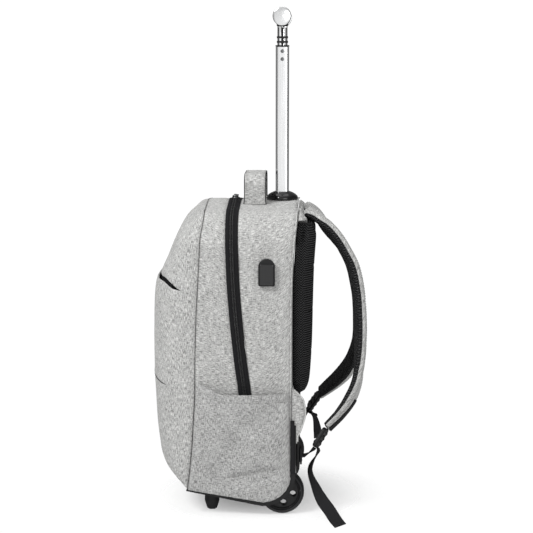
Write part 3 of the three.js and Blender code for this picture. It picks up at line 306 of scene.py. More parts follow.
# Thread stitches lying along a path on a surface, each a small closed lens
def stitches(path, normals, pitch=4.2, length=3.0, thickness=0.5):
    place = lengthsAlong(path[:, None], 0)[:, 0]
    count = max(int(place[-1] / pitch), 1)
    spots = (np.arange(count) + 0.5) * place[-1] / count
    centre = np.stack([np.interp(spots, place, path[:, k]) for k in range(3)], 1)
    ahead = unit(np.stack([np.interp(spots, place, np.gradient(path[:, k])) for k in range(3)], 1))
    up = unit(np.stack([np.interp(spots, place, normals[:, k]) for k in range(3)], 1))
    across = unit(np.cross(up, ahead))
    along = np.array([-0.5, -0.32, 0, 0.32, 0.5]) * length
    fat = np.array([0.35, 0.85, 1, 0.85, 0.35]) * thickness
    angle = np.arange(6) / 6 * 2 * math.pi
    shells = []
    for k in range(count):
        rings = (centre[k] + along[:, None, None] * ahead[k]
                 + (fat[:, None] * np.cos(angle))[..., None] * across[k]
                 + (fat[:, None] * np.sin(angle) * 0.8)[..., None] * up[k])
        shells.append(loftShell(rings))
    return shells


# A node group with its inputs and its outputs, which are plain numbers
def newGroup(name, inputs, outputs):
    group = bpy.data.node_groups.new(name, "ShaderNodeTree")
    for label, kind, value in inputs:
        socket = group.interface.new_socket(name=label, in_out="INPUT", socket_type=kind)
        if value is not None:
            socket.default_value = value
    for label in outputs:
        group.interface.new_socket(name=label, in_out="OUTPUT", socket_type="NodeSocketFloat")
    return group, group.nodes.new("NodeGroupInput"), group.nodes.new("NodeGroupOutput")


# A link where the value is a socket, else a fixed value
def connect(tree, value, socket):
    if isinstance(value, bpy.types.NodeSocket):
        tree.links.new(value, socket)
    else:
        socket.default_value = value


# One sum of two values
def calculate(tree, operation, first, second=0.0):
    node = tree.nodes.new("ShaderNodeMath")
    node.operation = operation
    for socket, value in zip(node.inputs, (first, second)):
        connect(tree, value, socket)
    return node.outputs[0]


# A vector times a scale for each axis
def stretched(tree, vector, scale):
    node = tree.nodes.new("ShaderNodeVectorMath")
    node.operation = "MULTIPLY"
    connect(tree, vector, node.inputs[0])
    node.inputs[1].default_value = scale
    return node.outputs[0]


# Noise over a vector, at a scale
def noiseOf(tree, vector, scale, detail=2.0, rough=0.5):
    node = tree.nodes.new("ShaderNodeTexNoise")
    connect(tree, vector, node.inputs["Vector"])
    node.inputs["Scale"].default_value = scale
    node.inputs["Detail"].default_value = detail
    node.inputs["Roughness"].default_value = rough
    return node.outputs[0]


# A value eased from one range into another
def ranged(tree, value, low, high, outLow=0.0, outHigh=1.0):
    node = tree.nodes.new("ShaderNodeMapRange")
    node.interpolation_type = "SMOOTHSTEP"
    connect(tree, value, node.inputs["Value"])
    labels = ("From Min", "From Max", "To Min", "To Max")
    for label, number in zip(labels, (low, high, outLow, outHigh)):
        node.inputs[label].default_value = number
    return node.outputs[0]


# Two colours mixed by a share
def blended(tree, share, first, second):
    node = tree.nodes.new("ShaderNodeMix")
    node.data_type = "RGBA"
    connect(tree, share, node.inputs[0])
    connect(tree, first, node.inputs[6])
    connect(tree, second, node.inputs[7])
    return node.outputs[2]


# Heathered cloth: dark and light flecks drawn out along both yarn directions, a plain weave's
# height, and slow clouds. Vector is in metres on the surface.
def makeWeave():
    group, start, end = newGroup(
        "heatheredWeave", [("Vector", "NodeSocketVector", None), ("Lean", "NodeSocketFloat", 0.5)],
        ["Fleck", "Cloud", "Height"])
    vector = start.outputs["Vector"]
    upright = noiseOf(group, stretched(group, vector, (950, 150, 1)), 1.0, 2.0, 0.6)
    level = noiseOf(group, stretched(group, vector, (150, 950, 1)), 1.0, 2.0, 0.6)
    fine = noiseOf(group, stretched(group, vector, (2400, 2400, 1)), 1.0, 0.0)
    lean = start.outputs["Lean"]
    both = calculate(group, "ADD", calculate(group, "MULTIPLY", upright, lean),
                     calculate(group, "MULTIPLY", level, calculate(group, "SUBTRACT", 1.0, lean)))
    grainy = calculate(group, "ADD", both, calculate(group, "MULTIPLY", fine, 0.18))
    fleck = ranged(group, grainy, 0.42, 0.78)
    cloud = noiseOf(group, vector, 38.0, 2.0)
    split = group.nodes.new("ShaderNodeSeparateXYZ")
    connect(group, stretched(group, vector, (5200, 5200, 1)), split.inputs[0])
    weave = calculate(group, "MULTIPLY", calculate(group, "SINE", split.outputs[0]),
                      calculate(group, "SINE", split.outputs[1]))
    height = calculate(group, "ADD", calculate(group, "MULTIPLY", weave, 0.5),
                       calculate(group, "MULTIPLY", both, 1.6))
    for label, value in (("Fleck", fleck), ("Cloud", cloud), ("Height", height)):
        connect(group, value, end.inputs[label])
    return group


# Moulded grain: fine pits and a slow change of gloss. Vector is in metres in the object.
def makeGrain():
    group, start, end = newGroup(
        "mouldedGrain", [("Vector", "NodeSocketVector", None)], ["Pits", "Gloss", "Dust"])
    vector = start.outputs["Vector"]
    connect(group, noiseOf(group, vector, 2600.0, 3.0, 0.6), end.inputs["Pits"])
    connect(group, noiseOf(group, vector, 60.0, 4.0, 0.6), end.inputs["Gloss"])
    dust = ranged(group, noiseOf(group, vector, 240.0, 6.0, 0.7), 0.58, 0.8)
    connect(group, dust, end.inputs["Dust"])
    return group


# Zigzag ribs: a saw of one direction is added to the other before its sine is taken. The sine,
# lifted to run from nought to one, is sharpened by a power.
def makeZigzag():
    group, start, end = newGroup("zigzagMesh", [
        ("Vector", "NodeSocketVector", None), ("Rib", "NodeSocketFloat", 0.0024),
        ("Turn", "NodeSocketFloat", 0.012), ("Slant", "NodeSocketFloat", 1.0)], ["Height", "Pores"])
    split = group.nodes.new("ShaderNodeSeparateXYZ")
    connect(group, start.outputs["Vector"], split.inputs[0])
    saw = calculate(group, "PINGPONG", split.outputs[0], start.outputs["Turn"])
    slant = calculate(group, "MULTIPLY", saw, start.outputs["Slant"])
    slanted = calculate(group, "ADD", split.outputs[1], slant)
    turns = calculate(group, "DIVIDE", slanted, start.outputs["Rib"])
    wave = calculate(group, "SINE", calculate(group, "MULTIPLY", turns, 2 * math.pi))
    lifted = calculate(group, "MULTIPLY", calculate(group, "ADD", wave, 1.0), 0.5)
    ribs = calculate(group, "POWER", lifted, 1.8)
    pores = noiseOf(group, start.outputs["Vector"], 1600.0, 1.0)
    connect(group, ribs, end.inputs["Height"])
    connect(group, pores, end.inputs["Pores"])
    return group


weaveGroup, grainGroup, zigzagGroup = makeWeave(), makeGrain(), makeZigzag()


# A material with its shader, its tree and the name of its slot, which is only stored with them
def newMaterial(name, slot, rough, metallic=0.0):
    material = bpy.data.materials.new(name)
    material.use_nodes = True
    tree = material.node_tree
    shader = tree.nodes["Principled BSDF"]
    shader.inputs["Roughness"].default_value = rough
    shader.inputs["Metallic"].default_value = metallic
    return {"material": material, "tree": tree, "shader": shader, "slot": slot}


# A shared group in a material, fed with a vector and fixed values
def useGroup(made, group, vector, **values):
    node = made["tree"].nodes.new("ShaderNodeGroup")
    node.node_tree = group
    connect(made["tree"], vector, node.inputs["Vector"])
    for label, value in values.items():
        node.inputs[label].default_value = value
    return node.outputs


# Places on a piece, by its surface map or in its own frame
def surfaceVector(made, kind):
    node = made["tree"].nodes.new("ShaderNodeTexCoord")
    return node.outputs[kind]


# Height turned into the shader's normal
def addBump(made, height, distance, strength=1.0):
    node = made["tree"].nodes.new("ShaderNodeBump")
    node.inputs["Distance"].default_value = distance
    node.inputs["Strength"].default_value = strength
    connect(made["tree"], height, node.inputs["Height"])
    connect(made["tree"], node.outputs[0], made["shader"].inputs["Normal"])


# Grey cloth: dark yarn mixed into light yarn by the flecks, darker in the clouds
def greyClothMaterial(name, light=(0.78, 0.78, 0.765, 1), dark=(0.15, 0.15, 0.147, 1), lean=0.66):
    made = newMaterial(name, "grey_cloth", 0.92)
    tree = made["tree"]
    out = useGroup(made, weaveGroup, surfaceVector(made, "UV"), Lean=lean)
    share = calculate(tree, "ADD", calculate(tree, "MULTIPLY", out["Fleck"], 0.86),
                      ranged(tree, out["Cloud"], 0.35, 0.7, -0.02, 0.06))
    connect(tree, blended(tree, share, dark, light), made["shader"].inputs["Base Color"])
    made["shader"].inputs["Sheen Weight"].default_value = 0.12
    made["shader"].inputs["Sheen Roughness"].default_value = 0.5
    made["shader"].inputs["Specular IOR Level"].default_value = 0.25
    addBump(made, out["Height"], 0.00035, 0.7)
    return made


# Black mesh: zigzag or straight ribs raised in the normal, with painted highlight on their crests and
# painted shade in the furrows between them
def blackMeshMaterial(name, rib, turn, slant):
    made = newMaterial(name, "black_mesh", 0.82)
    tree = made["tree"]
    out = useGroup(made, zigzagGroup, surfaceVector(made, "UV"), Rib=rib, Turn=turn, Slant=slant)
    # Painted light and shade: the colour follows the ribs' height, nearly black in the furrows and
    # paler on the crests, broken up by random pores
    share = calculate(tree, "MULTIPLY", out["Height"], ranged(tree, out["Pores"], 0.3, 0.66, 0.15, 1.0))
    colour = blended(tree, share, (0.001, 0.001, 0.0012, 1), (0.105, 0.105, 0.108, 1))
    connect(tree, colour, made["shader"].inputs["Base Color"])
    made["shader"].inputs["Specular IOR Level"].default_value = 0.12
    addBump(made, out["Height"], 0.001, 1.0)
    return made


# Webbing, binding and zip tape: fine ribs across the band, with a change of colour that is partly
# painted highlight on the ribs and painted shade between them, partly random
def bandMaterial(name, slot, rib, low, high, rough=0.75, bump=0.0004):
    made = newMaterial(name, slot, rough)
    tree = made["tree"]
    out = useGroup(made, zigzagGroup, surfaceVector(made, "UV"), Rib=rib, Turn=0.0018, Slant=0.8)
    # Colour: 0.6 of the ribs' height, which paints shade between the ribs and highlight on them, and
    # 0.4 of random pores
    share = calculate(tree, "ADD", calculate(tree, "MULTIPLY", out["Height"], 0.6),
                      calculate(tree, "MULTIPLY", out["Pores"], 0.4))
    connect(tree, blended(tree, share, low, high), made["shader"].inputs["Base Color"])
    made["shader"].inputs["Specular IOR Level"].default_value = 0.15
    addBump(made, out["Height"], bump, 0.8)
    return made


# Moulded plastic or rubber: one dark colour, dusted a little, with grain in gloss and normal
def mouldedMaterial(name, slot, colour, rough, pits, spread=0.08, coat=0.0):
    made = newMaterial(name, slot, rough)
    tree = made["tree"]
    out = useGroup(made, grainGroup, surfaceVector(made, "Object"))
    pale = tuple(min(c * 2 + 0.006, 1.0) for c in colour[:3]) + (1,)
    share = calculate(tree, "MULTIPLY", out["Dust"], 0.35)
    connect(tree, blended(tree, share, colour, pale), made["shader"].inputs["Base Color"])
    connect(tree, ranged(tree, out["Gloss"], 0.3, 0.7, rough - spread, rough + spread),
            made["shader"].inputs["Roughness"])
    made["shader"].inputs["Specular IOR Level"].default_value = 0.3
    made["shader"].inputs["Coat Weight"].default_value = coat
    made["shader"].inputs["Coat Roughness"].default_value = 0.08
    if pits > 0:
        addBump(made, out["Pits"], pits, 0.6)
    return made


# Metal: gloss drawn into fine lines along one direction
def metalMaterial(name, slot, colour, rough, lines, spread=0.07):
    made = newMaterial(name, slot, rough, metallic=1.0)
    tree = made["tree"]
    vector = surfaceVector(made, "Object")
    streaks = noiseOf(tree, stretched(tree, vector, lines), 1.0, 3.0, 0.6)
    low = tuple(c * 0.93 for c in colour[:3]) + (1,)
    connect(tree, blended(tree, streaks, low, colour), made["shader"].inputs["Base Color"])
    connect(tree, ranged(tree, streaks, 0.3, 0.7, rough - spread, rough + spread),
            made["shader"].inputs["Roughness"])
    addBump(made, streaks, 0.00003, 0.4)
    return made


finishes = {
    "cloth": greyClothMaterial("heathered_cloth"),
    "sideCloth": greyClothMaterial("heathered_side_cloth", lean=0.32),
    "pocketCloth": greyClothMaterial("heathered_pocket_cloth", (0.7, 0.7, 0.69, 1),
                                     (0.12, 0.12, 0.118, 1), 0.5),
    "piping": greyClothMaterial("light_piping", (0.66, 0.66, 0.65, 1), (0.42, 0.42, 0.41, 1)),
    "meshSide": blackMeshMaterial("zigzag_mesh", 0.0042, 0.0055, 1.1),
    "meshFace": blackMeshMaterial("ribbed_mesh", 0.0036, 0.5, 0.0),
    "webbing": bandMaterial("black_webbing", "black_webbing", 0.0022, (0.002, 0.002, 0.0025, 1),
                            (0.03, 0.03, 0.032, 1)),
    "zip": bandMaterial("zip_tape", "zip_tape", 0.0013, (0.003, 0.003, 0.0035, 1),
                        (0.02, 0.02, 0.022, 1)),
    "teeth": mouldedMaterial("zip_teeth", "zip_tape", (0.006, 0.006, 0.0065, 1), 0.35, 0.0),
    "plastic": mouldedMaterial("black_plastic", "black_plastic", (0.0065, 0.0065, 0.007, 1), 0.45,
                               0.00008),
    "gloss": mouldedMaterial("gloss_plastic", "gloss_plastic", (0.004, 0.004, 0.0045, 1), 0.14, 0.0,
                             0.04, 0.6),
    "tyre": mouldedMaterial("tyre_rubber", "tyre_rubber", (0.014, 0.014, 0.015, 1), 0.55, 0.00012),
    "foot": mouldedMaterial("foot_rubber", "foot_rubber", (0.007, 0.007, 0.0075, 1), 0.6, 0.00012),
    "aluminium": metalMaterial("satin_aluminium", "aluminium", (0.86, 0.865, 0.87, 1), 0.24,
                               (900, 900, 14)),
    "cap": metalMaterial("turned_aluminium", "aluminium", (0.8, 0.805, 0.81, 1), 0.24, (40, 700, 700)),
    "chrome": metalMaterial("bright_tube", "chrome", (0.86, 0.865, 0.87, 1), 0.14, (900, 900, 14),
                            0.05),
    "steel": metalMaterial("dark_steel", "dark_steel", (0.16, 0.163, 0.166, 1), 0.3, (500, 500, 500)),
    "thread": mouldedMaterial("grey_thread", "grey_cloth", (0.4, 0.4, 0.39, 1), 0.8, 0.0),
    "blackThread": mouldedMaterial("black_thread", "black_webbing", (0.012, 0.012, 0.0125, 1), 0.7,
                                   0.0),
}
print("materials:", len(finishes))

# Lines of the body
sideRows = {
    "height": [0.05, 0.19, 0.29, 0.415, 0.52, 0.65, 0.78, 0.915, 0.99, 1.05],
    "seam": [1.12, 1.065, 1.04, 1.018, 1.013, 1.0, 0.977, 0.953, 0.922, 0.92],
    "zip": [0.46, 0.48, 0.51, 0.552, 0.598, 0.643, 0.675, 0.69, 0.693, 0.693],
    "rear": [0, 0, 0, 0, 0, 0, -0.005, -0.035, -0.06, -0.065],
}
frontRows = {
    "height": [0.08, 0.098, 0.118, 0.16, 0.21, 0.345, 0.5, 0.65, 0.74, 0.79, 0.848, 0.9, 0.955, 0.981,
               0.996, 1.0],
    "bulge": [0.0, 0.16, 0.36, 0.64, 0.78, 0.93, 1.0, 1.0, 0.97, 0.9, 0.755, 0.62, 0.44, 0.26, 0.13,
              0.0],
}


# Lines on the side: the depth times a smooth curve through the rows, read by height
def sideLine(name, z):
    return -bag["depth"] * curveThrough(sideRows["height"], sideRows[name], z / bag["height"])


def seamAt(z):
    return sideLine("seam", z)


def zipFrontAt(z):
    return sideLine("zip", z)


def zipRearAt(z):
    return zipFrontAt(z) + bag["zipWidth"]


def rearAt(z):
    return sideLine("rear", z)


cornerY = 2 - bag["cornerRadius"]
cornerZ = bag["baseRear"] + bag["cornerRadius"]
baseFrontY = float(seamAt(np.array([bag["baseFront"]]))[0]) - bag["wall"]
kickBack = cornerY + bag["cornerRadius"] + 7


# Half width: straight sides, quarter circle shoulders, and a sine swell behind the front edge
def halfWidthAt(z, y):
    rise = np.clip((z - shoulderHeight) / bag["shoulderRadius"], 0, 1)
    arch = halfWidth - bag["shoulderRadius"] * (1 - np.sqrt(1 - rise * rise))
    lift = np.clip((z - bag["baseFront"]) / (shoulderHeight - bag["baseFront"]), 0, 1)
    return arch + bag["sideSwell"] * np.sin(math.pi * lift) * smoothStep(-y, 0, bag["depth"] * 0.45)


# Rise of the top over its middle: a parabola and a cosine, mixed 0.35 to 0.65
def crownAt(x):
    share = np.clip(np.abs(x) / (halfWidth - bag["shoulderRadius"]), 0, 1)
    return bag["crownRise"] * (0.35 * (1 - share ** 2) + 0.65 * (0.5 + 0.5 * np.cos(math.pi * share)))


# Upper edge of the moulded base: a slope, then the quarter circle of the rear corner
def baseLineAt(y):
    share = np.clip((y - baseFrontY) / (cornerY - baseFrontY), 0, 1)
    slope = lerp(bag["baseFront"], bag["baseRear"], share)
    reach = np.clip(y - cornerY, 0, bag["cornerRadius"])
    return np.where(y <= cornerY, slope, cornerZ - np.sqrt(bag["cornerRadius"] ** 2 - reach ** 2))


# Grid over the arch: first index from the front line to the rear line, second from the right
# foot over the crown to the left foot (straight wall, quarter circle, crown)
def archGrid(frontLine, rearLine, across, along, proud=0.0):
    u = (1 - np.cos(np.linspace(0, math.pi, across)))[:, None] / 2
    v = np.linspace(0, 1, along)[None, :]
    side = np.where(v <= 0.5, 1, -1)
    half = 1 - np.abs(v - 0.5) * 2 + 0 * u
    wall, bend = 0.678, 0.841
    share = np.clip(half / wall, 0, 1)
    z = lerp(bag["baseFront"], shoulderHeight, share)
    for _ in range(3):
        foot = baseLineAt(lerp(frontLine(z), rearLine(z), u)) + 2 * bag["seamGap"]
        z = lerp(foot, shoulderHeight, share)
    angle = np.clip((half - wall) / (bend - wall), 0, 1) * math.pi / 2
    line = np.where(half <= wall, z, shoulderHeight + bag["shoulderRadius"] * np.sin(angle))
    y = lerp(frontLine(line), rearLine(line), u)
    radius = bag["shoulderRadius"] + proud
    onTop = np.clip((half - bend) / (1 - bend), 0, 1)
    x = np.where(half <= wall, halfWidthAt(z, y) + proud,
                 np.where(half <= bend, halfWidth - bag["shoulderRadius"] + radius * np.cos(angle),
                          (halfWidth - bag["shoulderRadius"]) * (1 - onTop)))
    top = np.where(half > bend, crownAt(x), 0)
    z = np.where(half <= wall, z, shoulderHeight + radius * np.sin(angle) + top)
    return np.stack([side * x, y, z], -1)


# Seamed edges turn in: the surface drops by depth times a bell of the distance to the edge
def turnIn(grid, edges, depth, width):
    distances = edgeDistances(grid)
    drop = sum(np.exp(-(distances[edge] / width) ** 2) for edge in edges)
    return grid - gridNormals(grid) * (depth * np.minimum(drop, 1))[..., None]


# Puckers beside a seam: a sine along the edge, shifted by a slower sine, that fades
# exponentially with the distance to the edge
def puckered(grid, edges, size, height, reach):
    distances = edgeDistances(grid)
    across = (0, 1)
    total = 0
    for edge in edges:
        along = distances[2] if edge in across else distances[0]
        wave = np.sin(along * 2 * math.pi / size + 2 * np.sin(along / size / 1.7))
        total = total + wave * np.exp(-distances[edge] / reach)
    return grid + gridNormals(grid) * (height * total)[..., None]


# Slow unevenness: the surface moves along its normals by height times the ripple
def uneven(grid, height, size, seed):
    return grid + gridNormals(grid) * (height * ripple(grid, size, seed))[..., None]


# Front panels
front = {"mouthHeight": 383, "mouthDrop": 16, "opening": 5, "lip": 4, "share": 0.72,
         "seamHeight": 220, "seamFall": 6, "turnSteps": 161,
         "reach": 68, "cord": 0.55, "sideCord": 0.42}

fineAngle = np.linspace(0, math.pi, 6001)
fineX = np.sign(np.cos(fineAngle)) * np.abs(np.cos(fineAngle)) ** (2 / bag["roundness"])
fineY = np.abs(np.sin(fineAngle)) ** (2 / bag["roundness"])
fineWay = np.concatenate([[0], np.cumsum(np.hypot(np.diff(fineX) * halfWidth,
                                                  np.diff(fineY) * front["reach"]))])
fineShare = fineWay / fineWay[-1]
fineZ = bag["height"] - (bag["height"] - bag["baseFront"]) * np.linspace(0, 1, 2001) ** 2.2


# Reach of the front past the seam: a smooth curve through the rows, read by height
def bulgeAt(z):
    height = np.minimum(z / bag["height"], 1)
    return bag["frontBulge"] * curveThrough(frontRows["height"], frontRows["bulge"], height)


fineStep = np.hypot(np.diff(fineZ), np.diff(bulgeAt(fineZ) + 0.3 * seamAt(fineZ)))
fineDrop = np.concatenate([[0], np.cumsum(fineStep)])


# Section of the front panels: a superellipse from the right seam over the front to the left
def frontPoints(way, z, lip=0.0):
    sectionX, sectionY = np.interp(way, fineShare, fineX), np.interp(way, fineShare, fineY)
    seam = seamAt(z) - bag["seamGap"]
    x = halfWidthAt(z, seam) * sectionX
    y = seam - (bulgeAt(z) + lip) * sectionY
    return np.stack([x, y, z + smoothStep(z, shoulderHeight, bag["height"]) * crownAt(x)], -1)


# Height of the mouth: nearly level over the front, then dropping round each corner
def mouthAt(way):
    turn = np.interp(way, fineShare, fineAngle / math.pi)
    return front["mouthHeight"] - front["mouthDrop"] * (1 - smoothStep(np.sin(turn * math.pi), 0.1,
                                                                       0.75))


# Opening of the mouth: full over the front, closing by a smooth step past the share
def mouthGapAt(way):
    half = np.abs(np.interp(way, fineShare, fineAngle / math.pi) - 0.5) * 2
    return front["opening"] * (1 - smoothStep(half, front["share"], front["share"] + 0.2))


# A front panel between two heights: rows spread evenly by length down the middle line, and
# a lip that grows by a smooth step towards the upper edge
def frontGrid(way, top, bottom, rows, lipShare=0.0):
    v = np.linspace(0, 1, rows)[None, :]
    start, stop = (np.interp(-edge, -fineZ, fineDrop) for edge in (top, bottom))
    z = np.interp(lerp(start, stop, v), fineDrop, fineZ)
    share = np.clip((z - bottom) / np.maximum(top - bottom, 1), 0, 1)
    lip = front["lip"] * lipShare * smoothStep(share, 0.75, 1)
    return frontPoints(np.broadcast_to(way, z.shape), z, lip)


# Both front panels, the lower with a crease made of two bells, and what the mouth shows
def buildFront():
    way = np.linspace(0, 1, front["turnSteps"])[:, None]
    top = np.full_like(way, bag["height"])
    upper = frontGrid(way, top, mouthAt(way) + mouthGapAt(way) / 2, 80)
    upper = uneven(upper, 1.2, 170, 3)
    upper = puckered(upper, [0, 1, 2], 13, 0.22, 9)
    upper = turnIn(upper, [0, 1, 2], 1.6, 3.2)
    upper = turnIn(upper, [3], 0.9 * smoothStep(mouthGapAt(way), 0, 2), 1.4)
    piece = makePiece("front_upper", [sheetShell(upper, bag["wall"])], finishes["cloth"],
                      "front_upper_panel")
    declareSheet(upper)

    bottom = np.full_like(way, bag["baseFront"] + 0.3)
    gap = mouthGapAt(way)
    lower = frontGrid(way, mouthAt(way) - gap / 2, bottom, 134, smoothStep(gap, 0, front["opening"]))
    lower = uneven(lower, 1.2, 170, 3)
    fall = smoothStep(np.abs(lower[..., 0]), 100, 150)
    seam = lower[..., 2] - (front["seamHeight"] - front["seamFall"] * fall)
    shown = 1 - smoothStep(np.abs(lower[..., 0]), 132, 146)
    crease = shown * (1.5 * np.exp(-(seam / 1.8) ** 2) - 0.7 * np.exp(-((seam - 5) / 4) ** 2))
    lower = lower - gridNormals(lower) * crease[..., None]
    lower = puckered(lower, [0, 1, 3], 13, 0.22, 9)
    lower = turnIn(lower, [0, 1, 3], 1.6, 3.2)
    lower = turnIn(lower, [2], 0.9 * smoothStep(mouthGapAt(way), 0, 2), 1.4)
    piece = makePiece("front_lower", [sheetShell(lower, bag["wall"])], finishes["cloth"],
                      "front_lower_panel")
    declareSheet(lower)

    # Dark cord in the sewn crease below the pocket
    ways = np.linspace(0.12, 0.88, 400)
    bare = frontPoints(ways, np.full(400, float(front["seamHeight"])))
    heights = front["seamHeight"] - front["seamFall"] * smoothStep(np.abs(bare[:, 0]), 100, 150)
    path = frontPoints(ways, heights)
    makePiece("front_seam_cord", [tubeShell(path, front["cord"], 8)], finishes["blackThread"])

    # Tape behind the open mouth, with the two coils of its zip
    reach = front["share"] / 2
    turn = np.linspace(0.5 - reach, 0.5 + reach, 120)
    mid = np.interp(turn * math.pi, fineAngle, fineShare)
    across = np.linspace(-2, 2, 12)[None, :] * front["opening"]
    ways = np.broadcast_to(mid[:, None], (120, 12))
    tape = frontPoints(ways, mouthAt(ways) + across, -bag["wall"] - 2.7)
    shells = [sheetShell(tape, 1.0)]
    for offset in (-1.4, 1.4):
        path = frontPoints(mid, mouthAt(mid) + offset, -bag["wall"] - 1.9)
        dense = curveAlong(path, np.linspace(0, 1, 900))
        ahead = unit(np.gradient(dense, axis=0))
        out = unit(np.cross(ahead, np.array([0, 0, 1.0])))
        swell = 0.85 + 0.28 * np.sin(np.arange(900) * 1.5)
        a, b = boxySection(8, 2.2)
        shells.append(loftShell(carried(dense, out, np.cross(out, ahead), swell[:, None] * a,
                                        swell[:, None] * b)))
    makePiece("front_zip", shells, finishes["zip"], "front_zip_tape")


# Side and top cloth, and the zip
zipper = {"teethPitch": 2.4, "teethHeight": 1.1, "sliderLength": 17, "sliderWidth": 11,
          "pullLength": 34, "pullWidth": 8, "pullThickness": 2}


# Cloth in front of and behind the zip, with the hole for the handle, and the zip itself: two
# bells raise its covers, and a sine swells its coils
def buildGusset():
    def finish(grid, seed):
        grid = uneven(grid, 0.9, 110, seed)
        grid = puckered(grid, [0, 1], 11, 0.25, 7)
        return turnIn(grid, [0, 1], 1.5, 2.6)
    forward = finish(archGrid(seamAt, lambda z: zipFrontAt(z) - 0.3, 34, 380), 7)
    piece = makePiece("gusset_forward", [sheetShell(forward, bag["wall"])], finishes["sideCloth"],
                      "gusset_front")
    declareSheet(forward)

    backward = finish(archGrid(lambda z: zipRearAt(z) + 0.3, rearAt, 48, 420), 9)
    middle = (backward[:-1, :-1] + backward[1:, 1:]) / 2
    hole = (np.abs(middle[..., 0]) < 14) & (np.abs(middle[..., 1] - poleY) < 14)
    hole &= middle[..., 2] > 480
    piece = makePiece("gusset_backward", [sheetShell(backward, bag["wall"], ~hole)],
                      finishes["sideCloth"], "gusset_rear")
    declareSheet(backward)

    # Dark cord in the seam between front and side
    line = archGrid(lambda z: seamAt(z) - 0.7, lambda z: seamAt(z) + 0.2, 3, 420, -0.4)[1]
    makePiece("side_seam_cord", [tubeShell(line, front["sideCord"], 6)], finishes["blackThread"])

    # Zip tape: flat woven edges, a raised cover on both sides of the coil in the middle
    grid = archGrid(zipFrontAt, zipRearAt, 41, 360, bag["zipProud"] - 0.2)
    place = edgeDistances(grid)[0] - bag["zipWidth"] / 2
    lift = 0.9 * np.exp(-((np.abs(place) - 5.2) / 1.6) ** 2)
    lift = lift + 0.35 * np.exp(-((np.abs(place) - 8.3) / 0.9) ** 2)
    tape = grid + gridNormals(grid) * (lift - 0.4)[..., None]
    makePiece("zip_band", [sheetShell(tape, 1.6)], finishes["zip"], "zip_tape")
    count = 1900
    fine = archGrid(zipFrontAt, zipRearAt, 3, count, bag["zipProud"] - 0.1)
    path, normal = fine[1], gridNormals(fine)[1]
    ahead = unit(np.gradient(path, axis=0))
    side = np.cross(normal, ahead)
    way = lengthsAlong(path[:, None], 0)[:, 0]
    swell = 1 + 0.24 * np.sin(way * 2 * math.pi / zipper["teethPitch"])
    a, b = boxySection(8, 2.4)
    for name, offset in (("zip_coil_front", -1.7), ("zip_coil_rear", 1.7)):
        rings = carried(path + side * offset, side, normal, 1.5 * swell[:, None] * a,
                        zipper["teethHeight"] * swell[:, None] * b)
        makePiece(name, [loftShell(rings)], finishes["teeth"])


# A flat plate: an outline of two columns grown through rounded edges, placed on three axes
def plateShell(outline, thickness, bevel, place, first, second, out, steps=4):
    centre = outline.mean(axis=0)
    reach = np.abs(outline - centre).max()
    rings = []
    angle = np.linspace(0, math.pi / 2, steps)
    insets = [(bevel * (1 - math.sin(t)), bevel * (1 - math.cos(t))) for t in angle]
    levels = insets + [(inset, thickness - low) for inset, low in reversed(insets)]
    for inset, level in levels:
        shape = centre + (outline - centre) * (1 - inset / reach)
        rings.append(place + shape[:, :1] * first + shape[:, 1:] * second + level * out)
    return loftShell(np.array(rings))


# Outline of a rectangle whose corners are quarter circles
def roundedOutline(width, height, radius, steps=8):
    corner = np.linspace(0, math.pi / 2, steps)
    parts = []
    for k, (sx, sy) in enumerate(((1, 1), (-1, 1), (-1, -1), (1, -1))):
        centre = np.array([sx * (width / 2 - radius), sy * (height / 2 - radius)])
        angle = corner + k * math.pi / 2
        parts.append(centre + radius * np.stack([np.cos(angle), np.sin(angle)], 1))
    return np.concatenate(parts)


axisX, axisY, axisZ = np.eye(3)


# Slider: two stacked plates under a half ellipse, and the plate of its pull beside it
def buildSlider():
    top = bag["height"] + bag["crownRise"] + bag["zipProud"] + 0.3
    zipTop = np.array([bag["height"]])
    mid = float((zipFrontAt(zipTop) + zipRearAt(zipTop))[0] / 2)
    length, width = zipper["sliderLength"], zipper["sliderWidth"]
    low = np.array([0, mid, top])
    shells = [plateShell(roundedOutline(length, width, 4.5), 2.4, 0.8, low, axisX, axisY, axisZ),
              plateShell(roundedOutline(length * 0.9, width * 0.86, 4), 2.0, 0.8, low + axisZ * 2.6,
                         axisX, axisY, axisZ)]
    t = np.linspace(0, math.pi, 24)
    arch = low + np.stack([np.cos(t) * 5.5, 0 * t, 4.2 + np.sin(t) * 2.1], 1)
    ahead = unit(np.gradient(arch, axis=0))
    a, b = boxySection(10, 3)
    shells.append(loftShell(carried(arch, np.tile(axisY, (24, 1)), np.cross(ahead, axisY), 2.0 * a,
                                    0.6 * b)))
    makePiece("slider", shells, finishes["steel"], "zip_slider")
    pullX = -length / 2 - 0.3 - zipper["pullLength"] / 2
    place = np.array([pullX, mid, top + 0.5])
    outline = roundedOutline(zipper["pullLength"], zipper["pullWidth"], 3.4)
    pull = plateShell(outline, zipper["pullThickness"], 0.7, place, axisX, axisY, axisZ)
    groove = plateShell(roundedOutline(zipper["pullLength"] - 12, 3.2, 1.5), 0.5, 0.2,
                        place + axisZ * (zipper["pullThickness"] - 0.1), axisX, axisY, axisZ)
    makePiece("pull", [pull, groove], finishes["plastic"], "zip_pull")


# Side pockets
pocket = {
    "height": 203, "rise": 17, "puff": 12, "hem": 13, "bindingWidth": 7, "dentScale": 2.8,
    "dents": [  # share of the way to the rear, height, depth, reach, slant
        {"u": 0.62, "z": 66, "deep": 4.4, "wide": 9, "long": 58, "slant": 12},
        {"u": 0.42, "z": 118, "deep": 1.8, "wide": 20, "long": 40, "slant": -35},
        {"u": 0.72, "z": 158, "deep": 2.0, "wide": 18, "long": 46, "slant": 24},
        {"u": 0.25, "z": 80, "deep": 1.6, "wide": 16, "long": 34, "slant": 60},
    ],
}


